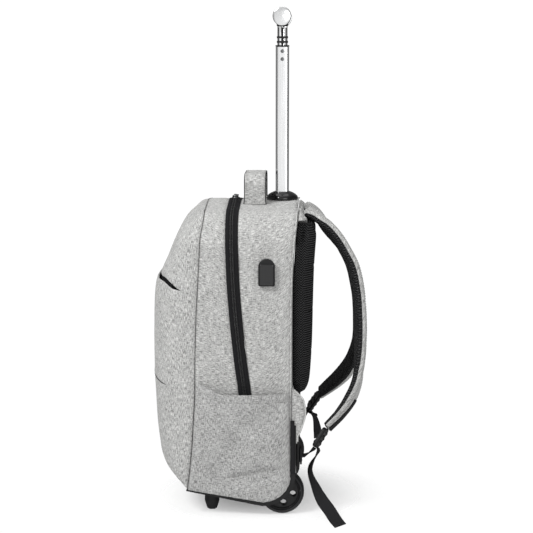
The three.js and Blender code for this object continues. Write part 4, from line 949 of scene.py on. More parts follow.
# Pocket cloth stands off the side by puff times powers of the two shares, and sinks in dents
def pocketGrid(side, across=96, along=104):
    u = np.linspace(0, 1, across)[:, None]
    v = np.linspace(0, 1, along)[None, :]
    top = pocket["height"] + pocket["rise"] * smoothStep(1 - u, 0.68, 1)
    z = lerp(bag["baseFront"], top, v)
    for _ in range(3):
        y = lerp(seamAt(z) + 1, rearAt(z) - 1, u)
        z = lerp(baseLineAt(y) + 0.3, top, v)
    spread = (4 * u * (1 - u)) ** 0.7
    puff = pocket["puff"] * spread * np.sin(math.pi / 2 * np.minimum(v * 1.35, 1))
    flat = np.stack([0 * z, y, z], -1)
    for dent in pocket["dents"]:
        centreY = lerp(-150, 0, dent["u"])
        turn = math.radians(dent["slant"])
        dy, dz = y - centreY, z - dent["z"]
        lengthways = dy * math.cos(turn) + dz * math.sin(turn)
        crossways = dz * math.cos(turn) - dy * math.sin(turn)
        bell = np.exp(-(lengthways / dent["long"]) ** 2 - (crossways / dent["wide"]) ** 2)
        puff = puff - pocket["dentScale"] * dent["deep"] * spread * bell
    puff = puff + 0.8 * spread * ripple(flat, 90, 21 + side)
    hemLine = edgeDistances(flat)[3]
    puff = puff - 0.7 * np.exp(-((hemLine - pocket["hem"]) / 1.2) ** 2)
    puff = puff + 0.5 * (hemLine < pocket["hem"])
    x = halfWidthAt(z, y) + bag["zipProud"] + 0.3 + bag["wall"] + np.maximum(puff, 0)
    grid = np.stack([side * x, y, z], -1)
    return grid if side > 0 else grid[::-1]


# A pocket with its thread, and the binding behind it, which bulges by a parabola
def buildPocket(side, name):
    grid = pocketGrid(side)
    grid = puckered(grid, [0, 1, 2], 12, 0.25, 8)
    grid = turnIn(grid, [0, 1, 2], 1.2, 2.6)
    piece = makePiece("pocket_cloth_" + name, [sheetShell(grid, 1.6)], finishes["pocketCloth"],
                      "side_pocket_" + name)
    declareSheet(grid)
    row = int(np.argmin(np.abs(edgeDistances(grid)[3][0] - pocket["hem"] + 1.6)))
    makePiece("pocket_thread_" + name, stitches(grid[:, row], gridNormals(grid)[:, row]),
              finishes["thread"])

    v = np.linspace(0, 1, 60)[None, :]
    u = np.linspace(0, 1, 9)[:, None]
    z = lerp(cornerZ, pocket["height"] * 0.78, v)
    y = lerp(rearAt(z) + 0.3, rearAt(z) + pocket["bindingWidth"], u)
    bulge = 0.9 * (1 - (2 * u - 1) ** 2)
    edge = np.stack([side * (halfWidth + bag["wall"] - 1 + bulge + 0 * y), y, z + 0 * y], -1)
    edge = edge if side > 0 else edge[::-1]
    makePiece("binding_" + name, [sheetShell(edge, 1.5)], finishes["webbing"], "pocket_binding_" + name)


# Back
back = {"padWidth": 252, "padTop": 466, "padBottom": 188, "padThickness": 34, "yokeHeight": 24,
        "yokeThickness": 15, "voxel": 0.005, "pressure": 4.0, "cap": 0.003,
        "channels": (258, 328, 398), "rim": 108}
padRows = {"up": [0, 0.02, 0.1, 0.35, 0.6, 0.75, 0.94, 0.985, 1],
           "thick": [0.62, 0.75, 0.84, 0.955, 0.99, 1, 0.99, 0.95, 0.8]}


# Outer face of the back: the rear line, the gap of a seam and the wall
def backFaceAt(z):
    return rearAt(z) + bag["seamGap"] + bag["wall"]


# Back panel: heights follow a quarter circle of the share, so that rows gather at the top
def buildBackPanel():
    low = max(cornerZ, wheel["diameter"] + 7) + 0.3
    u = np.linspace(0, 1, 90)[:, None]
    v = np.linspace(0, 1, 120)[None, :]
    z = lerp(low, bag["height"], np.sqrt(1 - (1 - v) ** 2)) + 0 * u
    x = lerp(1, -1, u) * halfWidthAt(z, 0)
    lifted = smoothStep(z, shoulderHeight, bag["height"]) * crownAt(x)
    grid = np.stack([x, backFaceAt(z), z + lifted], -1)
    grid = turnIn(grid, [0, 1, 3], 1.4, 3)
    piece = makePiece("back_cloth", [sheetShell(grid, bag["wall"])], finishes["cloth"], "back_panel")
    declareSheet(grid)


# A stuffed piece: its closed start shape is remeshed, blown up by cloth under pressure while
# no point moves further than the cap, and smoothed once
def stuffed(piece, voxel, pressure, cap):
    scene = bpy.context.scene
    bpy.ops.object.select_all(action="DESELECT")
    bpy.context.view_layer.objects.active = piece
    piece.select_set(True)
    remesh = piece.modifiers.new("remesh", "REMESH")
    remesh.mode = "VOXEL"
    remesh.voxel_size = voxel
    bpy.ops.object.modifier_apply(modifier=remesh.name)
    mesh = piece.data
    start = np.empty(len(mesh.vertices) * 3, np.float32)
    mesh.vertices.foreach_get("co", start)
    start = start.reshape(-1, 3).astype(float)
    cloth = piece.modifiers.new("cloth", "CLOTH")
    cloth.settings.use_pressure = True
    cloth.settings.uniform_pressure_force = pressure
    cloth.settings.quality = 6
    cloth.settings.tension_stiffness = 22
    cloth.settings.compression_stiffness = 22
    cloth.settings.effector_weights.gravity = 0
    cloth.point_cache.frame_start, cloth.point_cache.frame_end = 1, 20
    for number in range(1, 21):
        scene.frame_set(number)
    bpy.ops.object.modifier_apply(modifier=cloth.name)
    moved = np.empty(len(mesh.vertices) * 3, np.float32)
    mesh.vertices.foreach_get("co", moved)
    shift = moved.reshape(-1, 3) - start
    length = np.linalg.norm(shift, axis=1, keepdims=True)
    shift *= np.minimum(1, cap / np.maximum(length, 1e-9))
    mesh.vertices.foreach_set("co", (start + shift).astype(np.float32).ravel())
    scene.frame_set(1)
    smoothing = piece.modifiers.new("smoothing", "SUBSURF")
    smoothing.levels = smoothing.render_levels = 1
    bpy.ops.object.modifier_apply(modifier=smoothing.name)
    mesh.shade_smooth()
    print("stuffed:", piece.name, len(mesh.vertices), "points")


# A padded face: depth times 0.45, and 0.55 of one less the tenth power of the share across. Its
# seam with the yoke rises by a smooth step towards both sides.
def padGrid(low, high, halfOf, depthOf, across, along, lift, lowRise, highRise):
    v = np.linspace(0, 1, along)[None, :]
    u = np.linspace(0, 1, across)[:, None]
    x = lerp(-1, 1, u) * halfOf(v)
    rise = smoothStep(np.abs(x), 78, 112)
    z = lerp(low + lowRise * rise, high + highRise * rise, v)
    spread = (1 - np.abs(2 * u - 1) ** 10) * 0.55 + 0.45
    return np.stack([x, backFaceAt(z) + 0.9 + lift * depthOf(v) * spread, z], -1)


# Two faces with the same edges closed into one shell: the second runs back under the first
def twoLayers(faceGrid, backGrid):
    flipped = np.concatenate([faceGrid, backGrid[:, ::-1]], axis=1)
    return loftShell(flipped)


# The pad's edge narrows by the sixteenth power of its share, and its depth follows the rows
def buildPad():
    def halfOf(v):
        edge = np.abs(2 * v - 1) ** 16
        return (back["padWidth"] / 2 - 3) * (1 - 0.12 * edge)

    def depthOf(v):
        return (back["padThickness"] - 4) * curveThrough(padRows["up"], padRows["thick"], v)
    faces = [padGrid(back["padBottom"] + 3, back["padTop"] - 3, halfOf, depthOf, 60, 70, lift, 0, 12)
             for lift in (1, 0)]
    piece = makePiece("pad", [twoLayers(faces[0], faces[1])], finishes["meshFace"], "back_pad")
    stuffed(piece, back["voxel"], back["pressure"], back["cap"])
    shapePad(piece)


# Sewn channels pressed into the stuffed pad, and a surface map: sides read round the pad's
# edge, the rear face reads straight across
def shapePad(piece):
    mesh = piece.data
    points = np.empty(len(mesh.vertices) * 3, np.float32)
    mesh.vertices.foreach_get("co", points)
    local = (points.reshape(-1, 3).astype(float) - origin) * 1000
    x, y, z = local.T
    base = backFaceAt(z) + 0.9
    outward = np.clip((y - base) / back["padThickness"], 0, 1)
    faceShare = smoothStep(outward, 0.45, 0.85)
    centre = 5.5 * np.exp(-(x / 9) ** 4)
    cross = sum(2.2 * np.exp(-((z - level) / 2.2) ** 2) for level in back["channels"])
    rim = 1.6 * np.exp(-((np.abs(x) - back["rim"]) / 2.0) ** 2)
    y = y - faceShare * np.maximum(np.maximum(centre, cross), rim)
    y = np.maximum(y, base)
    limit = backFaceAt(z) + 0.9 + back["padThickness"] + 2.5
    local = np.stack([x, np.minimum(y, limit), z], 1)
    mesh.vertices.foreach_set("co", (local / 1000 + origin).astype(np.float32).ravel())
    mesh.update()
    onFace = np.empty(len(mesh.polygons) * 3, np.float32)
    mesh.polygons.foreach_get("normal", onFace)
    sideways = np.abs(onFace.reshape(-1, 3)[:, 1]) < 0.62
    piece.data.materials.append(finishes["meshSide"]["material"])
    mesh.polygons.foreach_set("material_index", sideways.astype(np.int32))
    loops = np.empty(len(mesh.loops), np.int32)
    mesh.loops.foreach_get("vertex_index", loops)
    sizes = np.empty(len(mesh.polygons), np.int32)
    mesh.polygons.foreach_get("loop_total", sizes)
    isSide = np.repeat(sideways, sizes)
    across = np.where(isSide, local[loops, 1], local[loops, 0])
    uv = np.stack([across, local[loops, 2]], 1) / 1000
    for old in list(mesh.uv_layers):
        mesh.uv_layers.remove(old)
    layer = mesh.uv_layers.new(name="surface")
    layer.data.foreach_set("uv", uv.astype(np.float32).ravel())
    mesh.update()


# Cord in a sleeve: a round tube along a path
def tubeShell(path, radius, segments=12):
    ahead = unit(np.gradient(path, axis=0))
    helper = np.where(np.abs(ahead[:, 2:]) > 0.9, axisX, axisZ)
    side = unit(np.cross(ahead, helper))
    a, b = boxySection(segments, 2)
    return loftShell(carried(path, side, np.cross(side, ahead), radius * a, radius * b))


# Yoke: a padded face that thins evenly towards the top, with a bell pressed in as its seam
def buildYoke():
    low = back["padTop"] + 0.3
    high = low + back["yokeHeight"]

    def halfOf(v):
        return halfWidthAt(lerp(back["padTop"], bag["height"], v), 0) - 8

    def depthOf(v):
        return back["yokeThickness"] * (1 - 0.72 * v)
    faces = [padGrid(low, high, halfOf, depthOf, 120, 30, lift, 12, 1) for lift in (1, 0)]
    face = uneven(faces[0], 0.5, 45, 31)
    distances = edgeDistances(face)
    drop = np.exp(-((distances[2] - 4) / 1.1) ** 2) * 0.8
    face = face - gridNormals(face) * drop[..., None]
    piece = makePiece("yoke", [twoLayers(face, faces[1])], finishes["cloth"], "back_yoke")


# Cloth wings beside the lower corners of the pad
wing = {"top": 210, "bottom": 120, "reach": 21, "width": 20.5, "skirt": 5, "skirtTop": 150.3,
        "up": [0.0, 0.24, 0.52, 0.76, 1.0], "out": [0.0, 0.66, 1.0, 0.9, 0.0], "piping": 1.3}


# Wing: one section for all heights, flat inside and rounded outside. Its reach is a smooth
# curve of height with a small sine on it.
def buildWing(side, name):
    z = np.linspace(wing["bottom"], wing["top"], 60)
    up = (z - wing["bottom"]) / (wing["top"] - wing["bottom"])
    face = np.where(z > wing["skirtTop"] + 0.2, backFaceAt(np.full_like(z, wing["top"])) + 0.3,
                    kickBack + 0.3)
    outer = np.full_like(z, halfWidth - 2)
    inner = outer - np.where(z > wing["skirtTop"] + 0.2, wing["width"], wing["skirt"])
    reach = backFaceAt(z) + wing["reach"] * curveThrough(wing["up"], wing["out"], up)
    reach = np.maximum(reach, face + bag["wall"])
    wave = 0.9 * np.sin(z / 6.5) * up * (1 - up) * 2
    section = np.array([[1, 0], [1, 0.35], [0.99, 0.7], [0.93, 0.9], [0.8, 1.0], [0.6, 1.0],
                        [0.35, 0.92],
                        [0.15, 0.8], [0, 0.6], [0, 0.3], [0, 0]])
    xs = lerp(inner[:, None], outer[:, None], section[:, 0])
    ys = lerp(face[:, None], reach[:, None] + wave[:, None], section[:, 1])
    rings = np.stack([side * xs, ys, np.broadcast_to(z[:, None], xs.shape)], -1)
    piece = makePiece("wing_cloth_" + name, [loftShell(rings)], finishes["cloth"], "wing_" + name,
                      sharp=60)
    edge = rings[:, 4] + np.array([side * 0.6, 0.5, 0])
    makePiece("wing_piping_" + name, [tubeShell(edge[2:-2], wing["piping"])], finishes["piping"])


# Moulded base, rails and feet
base = {"railX": 136, "railWidth": 14, "railProud": 6.5, "backHeight": 150, "footX": 110,
        "footY": -128.5,
        "footTop": 24, "footBottom": 15.6, "footTaper": 13}


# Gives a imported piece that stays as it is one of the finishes
def wear(node, finish):
    piece = bpy.data.objects[node]
    piece.data.materials.clear()
    piece.data.materials.append(finishes[finish]["material"])


# Rails: superelliptic sections whose depth is a smooth curve of height. Feet: turned
# profiles that end under the sloping base.
def buildBase():
    wear("base_tray", "plastic")
    wear("guide_tube", "steel")
    for side, name in ((1, "right"), (-1, "left")):
        x = side * base["railX"]
        half = base["railWidth"] / 2
        z = np.array([cornerZ - 4, cornerZ - 1, cornerZ + 6, cornerZ + 12, base["backHeight"] - 16,
                      base["backHeight"] - 10, base["backHeight"] - 5, base["backHeight"] - 4])
        out = np.array([0.8, 3.4, base["railProud"] - 0.5, base["railProud"], base["railProud"],
                        base["railProud"] - 0.5, 1.6, 0.6])
        a, b = boxySection(28, 4)
        level = np.linspace(z[0], z[-1], 50)
        depth = curveThrough(z, out, level)
        low = kickBack + 0.3
        centres = np.stack([np.full(50, x), low + (depth - 0.3) / 2, level], 1)
        rings = carried(centres, np.tile(axisX, (50, 1)), np.tile(axisY, (50, 1)),
                        half * a, (depth[:, None] - 0.3) / 2 * b)
        makePiece("rail_" + name, [loftShell(rings)], finishes["plastic"], "rear_rail_" + name)

        rearEdge = base["footY"] + base["footTop"] / 2
        slope = np.clip((rearEdge - baseFrontY) / (cornerY - baseFrontY), 0, 1)
        height = lerp(bag["baseFront"], bag["baseRear"], slope) - lerp(3, 7, slope) - 0.3
        profile = rounded([[0.4, 0], [base["footBottom"] / 2, 0],
                           [base["footTop"] / 2, base["footTaper"]],
                           [base["footTop"] / 2, height], [0.4, height]], 1.6)
        shell = revolved(profile, [side * base["footX"], base["footY"], 0], axisZ, 48)
        makePiece("foot_cone_" + name, [shell], finishes["foot"], "foot_" + name)


# Wheels
wheel = {"diameter": 72, "width": 23, "x": 129.5, "y": -13.5, "tyreDepth": 6.5, "windows": 5,
         "circle": 18, "window": 5, "axle": 8}


# Hub face in cells: rays from a window's centre run from its edge to the cell's border, which
# is the nearest of the rim, the boss and the two lines between neighbouring windows
def hubCell(angle, boss, rim, radius, half, count=56, rings=5):
    centre = np.array([math.cos(angle), math.sin(angle)]) * wheel["circle"]
    turn = np.arange(count) / count * 2 * math.pi
    ray = np.stack([np.cos(turn), np.sin(turn)], 1)
    along = ray @ centre
    rimWay = -along + np.sqrt(np.maximum(along ** 2 - (centre @ centre - rim ** 2), 0))
    inside = along ** 2 - (centre @ centre - boss ** 2)
    bossWay = np.where((inside > 0) & (along < 0), -along - np.sqrt(np.maximum(inside, 0)), 1e6)
    way = np.minimum(rimWay, bossWay)
    step = math.pi / wheel["windows"]
    for sign in (1, -1):
        border = angle + sign * step
        normal = np.array([-math.sin(border), math.cos(border)]) * sign
        speed = ray @ normal
        gap = -(centre @ normal)
        way = np.minimum(way, np.where(speed > 1e-6, gap / np.maximum(speed, 1e-6), 1e6))
    share = np.linspace(0, 1, rings)[:, None]
    reach = lerp(radius, way[None], share)
    flat = centre + reach[..., None] * ray[None]
    levels = []
    bevel = 0.8
    front = half - bevel * np.maximum(1 - share * 4, 0)[:, 0]
    for rowShape, level in list(zip(flat, front)) + list(zip(flat[::-1], -front[::-1])):
        levels.append(np.concatenate([np.full((count, 1), level), rowShape], 1))
    return np.array(levels)


# Wheel: hub cells, and rim, boss, tyre and pin turned about the axle from profiles
def buildWheel(side, name):
    centre = np.array([side * wheel["x"], wheel["y"], wheel["diameter"] / 2])
    radius, half = wheel["diameter"] / 2, wheel["width"] / 2
    hubRadius = radius - wheel["tyreDepth"]
    shells = []
    for k in range(wheel["windows"]):
        cell = hubCell(k / wheel["windows"] * 2 * math.pi - 0.19, 6.2, hubRadius - 2.6, wheel["window"],
                       half - 4.6)
        shells.append(loftShell(cell + centre, wrapPath=True))
    rim = rounded([[hubRadius - 3, -half + 3.2], [hubRadius - 0.9, -half + 1.6],
                   [hubRadius, -half + 2.4],
                   [hubRadius, half - 2.4], [hubRadius - 0.9, half - 1.6], [hubRadius - 3, half - 3.2],
                   [hubRadius - 3.4, 0], [hubRadius - 3, -half + 3.2]], 0.6)
    shells.append(revolved(rim[:-1], centre, axisX, 96, closed=True))
    boss = rounded([[4.3, -half + 2], [6.8, -half + 2], [7.2, -half + 4.5], [7.2, half - 4.5],
                    [6.8, half - 2],
                    [4.3, half - 2], [4.3, -half + 2]], 0.6)
    shells.append(revolved(boss[:-1], centre, axisX, 48, closed=True))
    makePiece("hub_" + name, shells, finishes["plastic"], "wheel_" + name, "wheel_" + name)

    inner = hubRadius + 0.3
    profile = rounded([[inner, -half + 1.2], [inner + 1.6, -half + 0.4], [radius - 3, -half],
                       [radius - 0.9, -half + 2.6],
                       [radius, -half + 6], [radius, -1.6], [radius - 0.9, -1.0], [radius - 0.9, 1.0],
                       [radius, 1.6],
                       [radius, half - 6], [radius - 0.9, half - 2.6], [radius - 3, half],
                       [inner + 1.6, half - 0.4],
                       [inner, half - 1.2], [inner, -half + 1.2]], 1.2, 4)
    tyre = revolved(profile[:-1], centre, axisX, 120, closed=True)
    makePiece("tyre_ring_" + name, [tyre], finishes["tyre"], "tyre_" + name, "wheel_" + name)

    reach = half + 7
    pin = rounded([[0.3, -reach], [wheel["axle"] / 2, -reach], [wheel["axle"] / 2, reach],
                   [0.3, reach]], 0.8)
    makePiece("pin_" + name, [revolved(pin, centre, axisX, 32)], finishes["steel"], "axle_" + name)


# Pull handle
handle = {
    "outer": 22, "outerTop": 751.4, "outerLength": 302, "inner": 16.6, "wall": 1.4, "corner": 5,
    "innerCorner": 3.2,
    "slideGap": 0.4, "collar": 2.4, "neck": 31, "innerLength": 300, "groove": 2.6, "ring": 3.2,
    "gripHeight": 799.8, "gripLength": 124, "grip": 27, "cap": 30, "capLength": 6, "socket": 19,
    "bezel": 53, "bezelHeight": 12, "button": (26, 10), "buttonProud": 1.6, "buttonSlot": 5.5,
    "shadeStripLength": 290,
}


# Square tube: outer outline up its length, over the rounded end, and back down the bore
def squareTube(outerOutline, innerOutline, low, high, edge=0.35):
    rings = []
    for outline, inset, level in (
            (outerOutline, edge, low), (outerOutline, 0, low + edge), (outerOutline, 0, high - edge),
            (outerOutline, edge, high), (innerOutline, -edge, high), (innerOutline, 0, high - edge),
            (innerOutline, 0, low + edge), (innerOutline, -edge, low)):
        reach = np.abs(outline).max()
        flat = outline * (1 - inset / reach)
        rings.append(np.concatenate([flat + [0, poleY], np.full((len(flat), 1), level)], 1))
    return loftShell(np.array(rings), wrapPath=True)


# Square outline with a groove down the middle of its two side faces
def groovedOutline(size, corner, groove, count=96):
    plain = evened(roundedOutline(size, size, corner, 12), count)
    depth = groove / 2 * np.exp(-(plain[:, 1] / (groove * 0.62)) ** 4)
    onSide = np.abs(plain[:, 0]) > size / 2 - corner * 0.4
    plain[:, 0] -= np.sign(plain[:, 0]) * depth * onSide
    return plain


# Outline points spread evenly by length, so that a groove keeps its shape
def evened(outline, count):
    closed = np.vstack([outline, outline[:1]])
    way = np.concatenate([[0], np.cumsum(np.linalg.norm(np.diff(closed, axis=0), axis=1))])
    spots = np.linspace(0, way[-1], count, endpoint=False)
    return np.stack([np.interp(spots, way, closed[:, k]) for k in range(2)], 1)


# Tubes, collar and neck rings are square tubes, and the rivets are turned
def buildHandle():
    outerInner = handle["inner"] + 2 * handle["slideGap"]
    outerOutline = roundedOutline(handle["outer"], handle["outer"], handle["corner"], 12)
    borePlain = roundedOutline(outerInner, outerInner, handle["corner"] - 2, 12)
    low, top = handle["outerTop"] - handle["outerLength"], handle["outerTop"]
    makePiece("outer_stage_tube", [squareTube(outerOutline, borePlain, low, top)],
              finishes["aluminium"],
              "outer_tube", "outer_stage")
    collarSize = handle["outer"] + 0.8
    collarOutline = roundedOutline(collarSize, collarSize, handle["corner"], 12)
    collar = squareTube(collarOutline, borePlain, top + 0.3, top + 0.3 + handle["collar"], 0.5)
    makePiece("collar_ring", [collar], finishes["plastic"], "collar", "outer_stage")
    for side, sideName in ((1, "right"), (-1, "left")):
        for i, level in enumerate(("upper", "lower")):
            place = [side * (handle["outer"] / 2 + 0.3), poleY, top - 7 - i * 13]
            head = rounded([[0.1, 0], [3.2, 0], [2.9, 0.6], [0.1, 0.9]], 0.5)
            shells = [revolved(head, place, axisX * side, 28)]
            slotPlace = np.array(place) + axisX * side * 0.72
            shells.append(plateShell(roundedOutline(0.8, 4.0, 0.3, 3), 0.25, 0.08, slotPlace, axisY,
                                     axisZ, axisX * side))
            makePiece(f"rivet_head_{level}_{sideName}", shells, finishes["steel"],
                      f"rivet_{level}_{sideName}", "outer_stage")

    innerTop = top + handle["collar"] + handle["neck"]
    grooved = evened(groovedOutline(handle["inner"], handle["innerCorner"], handle["groove"], 240), 144)
    boreSize = handle["inner"] - 2 * handle["wall"] - handle["groove"]
    bore = evened(roundedOutline(boreSize, boreSize, 2, 12), 144)
    tube = squareTube(grooved, bore, innerTop - handle["innerLength"], innerTop)
    makePiece("inner_stage_tube", [tube], finishes["chrome"], "inner_tube", "inner_stage")

    # Painted shade: black bands down the inner tube, where the bright metal shows dark reflections and
    # shade: one in each groove and one by each of the four corners
    shadeStrips = []
    shadeStripLow = innerTop - handle["shadeStripLength"] - 2
    for sign in (1, -1):
        grooveX = sign * (handle["inner"] / 2 - handle["groove"] / 2 + 0.1)
        edgeX = sign * (handle["inner"] / 2 - 0.25)
        spots = [(grooveX, 0, handle["groove"] * 1.05, 0.9)]
        spots += [(edgeX, edge * (handle["inner"] / 2 - 2.5), 1.7, 0.6) for edge in (1, -1)]
        for x, y, wide, thick in spots:
            shadeStrips.append(plateShell(roundedOutline(wide, thick, 0.2, 3), handle["shadeStripLength"], 0.1,
                                     np.array([x, poleY + y, shadeStripLow]), axisY, axisX, axisZ))
    makePiece("groove_strip", shadeStrips, finishes["plastic"], None, "inner_stage")
    ringBore = handle["inner"] + 0.6
    for i, level in enumerate(("lower", "upper")):
        start = top + handle["collar"] + 4 + i * 7.5
        shell = squareTube(roundedOutline(ringBore + 1.2, ringBore + 1.2, 3.4, 10),
                           roundedOutline(ringBore, ringBore, 3.5, 10),
                           start, start + handle["ring"], 0.12)
        makePiece("neck_band_" + level, [shell], finishes["plastic"], "neck_ring_" + level,
                  "inner_stage")
    buildGrip(innerTop)
    buildBezel()


# Grip: a turned bar whose girth swells by a cosine, cut flat under the button. Its socket is
# a superellipse that widens by a smooth curve of height.
def buildGrip(innerTop):
    bodyHalf = handle["gripLength"] / 2 - handle["capLength"] - 0.3
    radius = handle["grip"] / 2
    centre = np.array([0, poleY, handle["gripHeight"]])
    x = np.concatenate([[-bodyHalf, -bodyHalf + 0.5], np.linspace(-bodyHalf + 1.2, bodyHalf - 1.2, 90),
                        [bodyHalf - 0.5, bodyHalf]])
    girth = radius - 0.5 * (np.abs(x) > bodyHalf - 0.3) + 0.35 * np.cos(x / bodyHalf * math.pi) - 0.35
    angle = np.arange(72) / 72 * 2 * math.pi
    ring = np.stack([0 * angle, np.sin(angle), np.cos(angle)], 1)
    rings = centre + axisX * x[:, None, None] + girth[:, None, None] * ring
    button, across = handle["button"]
    onTop = np.abs(rings[..., 0]) < button / 2 + 1.2
    onTop &= np.abs(rings[..., 1] - poleY) < across / 2 + 1.2
    onTop &= rings[..., 2] > handle["gripHeight"]
    sunk = rings[..., 2] - handle["gripHeight"] - radius + handle["buttonSlot"]
    rings[..., 2] -= np.where(onTop, np.minimum(handle["buttonSlot"], sunk), 0)
    shells = [loftShell(rings)]
    z = np.array([innerTop + 0.3, innerTop + 0.9, innerTop + 6, handle["gripHeight"] - 11,
                  handle["gripHeight"] - 6])
    size = np.array([handle["socket"] - 0.8, handle["socket"], handle["socket"], handle["socket"] + 1.2,
                     handle["socket"] + 3])
    level = np.linspace(z[0], z[-1], 30)
    a, b = boxySection(48, 4.5)
    half = curveThrough(z, size, level)[:, None] / 2
    centres = np.stack([0 * level, 0 * level + poleY, level], 1)
    shells.append(loftShell(carried(centres, np.tile(axisX, (30, 1)), np.tile(axisY, (30, 1)), half * a,
                                    half * b)))
    makePiece("grip_bar", shells, finishes["plastic"], "grip", "inner_stage")

    slotLow = handle["gripHeight"] + radius - handle["buttonSlot"]
    buttonTop = handle["gripHeight"] + radius + handle["buttonProud"]
    plate = plateShell(roundedOutline(button, across, 2.5), buttonTop - slotLow - 2.8, 0.8,
                       np.array([0, poleY, slotLow + 2.8]), axisX, axisY, axisZ, 6)
    makePiece("button_key", [plate], finishes["gloss"], "release_button", "button")
    for side, name in ((1, "right"), (-1, "left")):
        r, length = handle["cap"] / 2, handle["capLength"]
        profile = rounded([[0.2, 0], [r - 0.5, 0], [r, 0.7], [r, length - 2.6], [r - 0.9, length - 1.7],
                           [r * 0.8, length - 1.05], [r * 0.5, length - 0.4], [0.2, length]], 0.9, 6)
        place = centre + axisX * side * (bodyHalf + 0.3)
        makePiece("end_cap_" + name, [revolved(profile, place, axisX * side, 80)], finishes["cap"],
                  "grip_cap_" + name, "inner_stage")


# Bezel: rings run from the round skirt over the dome to the square bore and down inside it
def buildBezel():
    crown = bag["height"] + bag["crownRise"] + 0.3
    bore = handle["outer"] + 2 * handle["slideGap"]
    count = 112
    angle = np.arange(count) / count * 2 * math.pi
    circle = np.stack([np.cos(angle), np.sin(angle)], 1)
    a, b = np.cos(angle), np.sin(angle)
    power = 5
    squareReach = bore / 2 / (np.abs(a) ** power + np.abs(b) ** power) ** (1 / power)
    r, h = handle["bezel"] / 2, handle["bezelHeight"]
    rows = [(r - 5, 0.2, 0), (r - 1.2, 0.1, 0), (r - 0.2, 0.7, 0), (r, 1.8, 0), (r - 0.3, 3.4, 0),
            (r - 1.4, 5.6, 0),
            (r - 3.4, 8.0, 0.05), (r - 6, 10.2, 0.15), (r - 8.6, 11.8, 0.35), (r - 11, 12.7, 0.6),
            (0, h + 0.95, 0.93), (0, h + 0.9, 1.0), (0, h + 0.2, 1.0), (0, 4, 1.0), (0, 0.6, 1.0)]
    rings = []
    for radius, level, squareness in rows:
        start = np.full(count, max(radius, bore / 2 + 1.2))
        reach = lerp(start, squareReach, squareness)
        rings.append(np.concatenate([circle * reach[:, None] + [0, poleY],
                                     np.full((count, 1), crown + level)], 1))
    makePiece("bezel_dome", [loftShell(np.array(rings), wrapPath=True)], finishes["gloss"],
              "handle_bezel", sharp=50)


# Carry handle
carry = {"y": -59.5, "width": 36, "thickness": 6, "span": 104, "top": 546, "corner": 20, "edge": 0.9}


# Path: up one leg, a quadratic curve round each corner, straight across, and down again
def carryPath(count):
    half, top = carry["span"] / 2, carry["top"] - carry["thickness"] / 2
    rise = bag["height"] + float(crownAt(np.array([half]))[0]) + 0.3
    corner = carry["corner"]
    t = np.linspace(0, 1, 40)[:, None]

    def bend(a, b, c):
        return a * (1 - t) ** 2 + 2 * b * t * (1 - t) + c * t ** 2
    corners = [[half, top - corner], [half, top], [half - corner, top],
               [corner - half, top], [-half, top], [-half, top - corner]]
    p = [np.array(c, float) for c in corners]
    flat = np.concatenate([[[half, rise]], bend(p[0], p[1], p[2]), bend(p[3], p[4], p[5]),
                           [[-half, rise]]])
    way = np.concatenate([[0], np.cumsum(np.linalg.norm(np.diff(flat, axis=0), axis=1))])
    spots = np.linspace(0, way[-1], count)
    x, z = (np.interp(spots, way, flat[:, k]) for k in (0, 1))
    return np.stack([x, np.full(count, float(carry["y"])), z], 1), spots, way[-1]


# Carry handle: a superellipse along the path, creased by a bell near both edges and flared
# by a bell at its feet
def buildCarry():
    count = 150
    path, spots, total = carryPath(count)
    ahead = unit(np.gradient(path, axis=0))
    wide = np.tile(axisY, (count, 1))
    thick = np.cross(ahead, wide)
    foot = np.minimum(spots, total - spots)
    flare = 1 + 0.05 * np.exp(-(foot / 5) ** 2)
    a, b = boxySection(72, 5)
    crease = 1 - 0.1 * np.exp(-((np.abs(a) - 0.82) / 0.035) ** 2)
    half = carry["thickness"] / 2 * (0.92 + 0.03 * np.sin(spots / 9))
    rings = carried(path, wide, thick, (carry["width"] / 2 - 0.8) * flare[:, None] * a,
                    half[:, None] * b * crease)
    piece = makePiece("carry_strap", [loftShell(rings)], finishes["cloth"], "carry_handle")
    shells = []
    a, b = boxySection(10, 2)
    for sign in (-1, 1):
        edge = path + wide * (sign * (carry["width"] / 2 - carry["edge"]) * flare[:, None])
        shells.append(loftShell(carried(edge, wide, thick, carry["edge"] * a, half[:, None] * 0.9 * b)))
    makePiece("carry_edges", shells, finishes["webbing"])
    threads = []
    for sign in (-1, 1):
        for face in (-1, 1):
            row = path + wide * (sign * carry["width"] * 0.41 * flare[:, None])
            line = row + thick * (face * half[:, None] * 0.98)
            threads += stitches(line, thick * face)
    makePiece("carry_thread", threads, finishes["thread"])


# Shoulder straps
strap = {"width": 66, "thickness": 16, "reach": 105, "steps": 170, "columns": 44}
strapKeys = ("height", "back", "side", "wide", "thick", "turn")
rightStrap = np.array([
    [0.972, 0.07, 0.36, 0.9, 0.5, 0], [0.981, 0.16, 0.37, 0.95, 0.65, 0],
    [0.976, 0.234, 0.385, 1, 0.85, 1],
    [0.963, 0.32, 0.4, 1, 1, 3], [0.943, 0.444, 0.415, 1, 1, 5], [0.906, 0.592, 0.44, 1, 1, 7],
    [0.862, 0.717, 0.465, 1, 1, 8], [0.813, 0.834, 0.49, 1, 1, 8], [0.739, 0.916, 0.52, 1, 1, 7],
    [0.658, 0.952, 0.57, 1, 1, 6], [0.567, 0.964, 0.625, 1, 1, 4], [0.49, 0.946, 0.675, 1, 1, 0],
    [0.432, 0.912, 0.715, 0.96, 1, -8], [0.377, 0.807, 0.755, 0.86, 0.95, -16],
    [0.33, 0.645, 0.8, 0.7, 0.8, -20],
    [0.289, 0.453, 0.85, 0.5, 0.6, -26]])
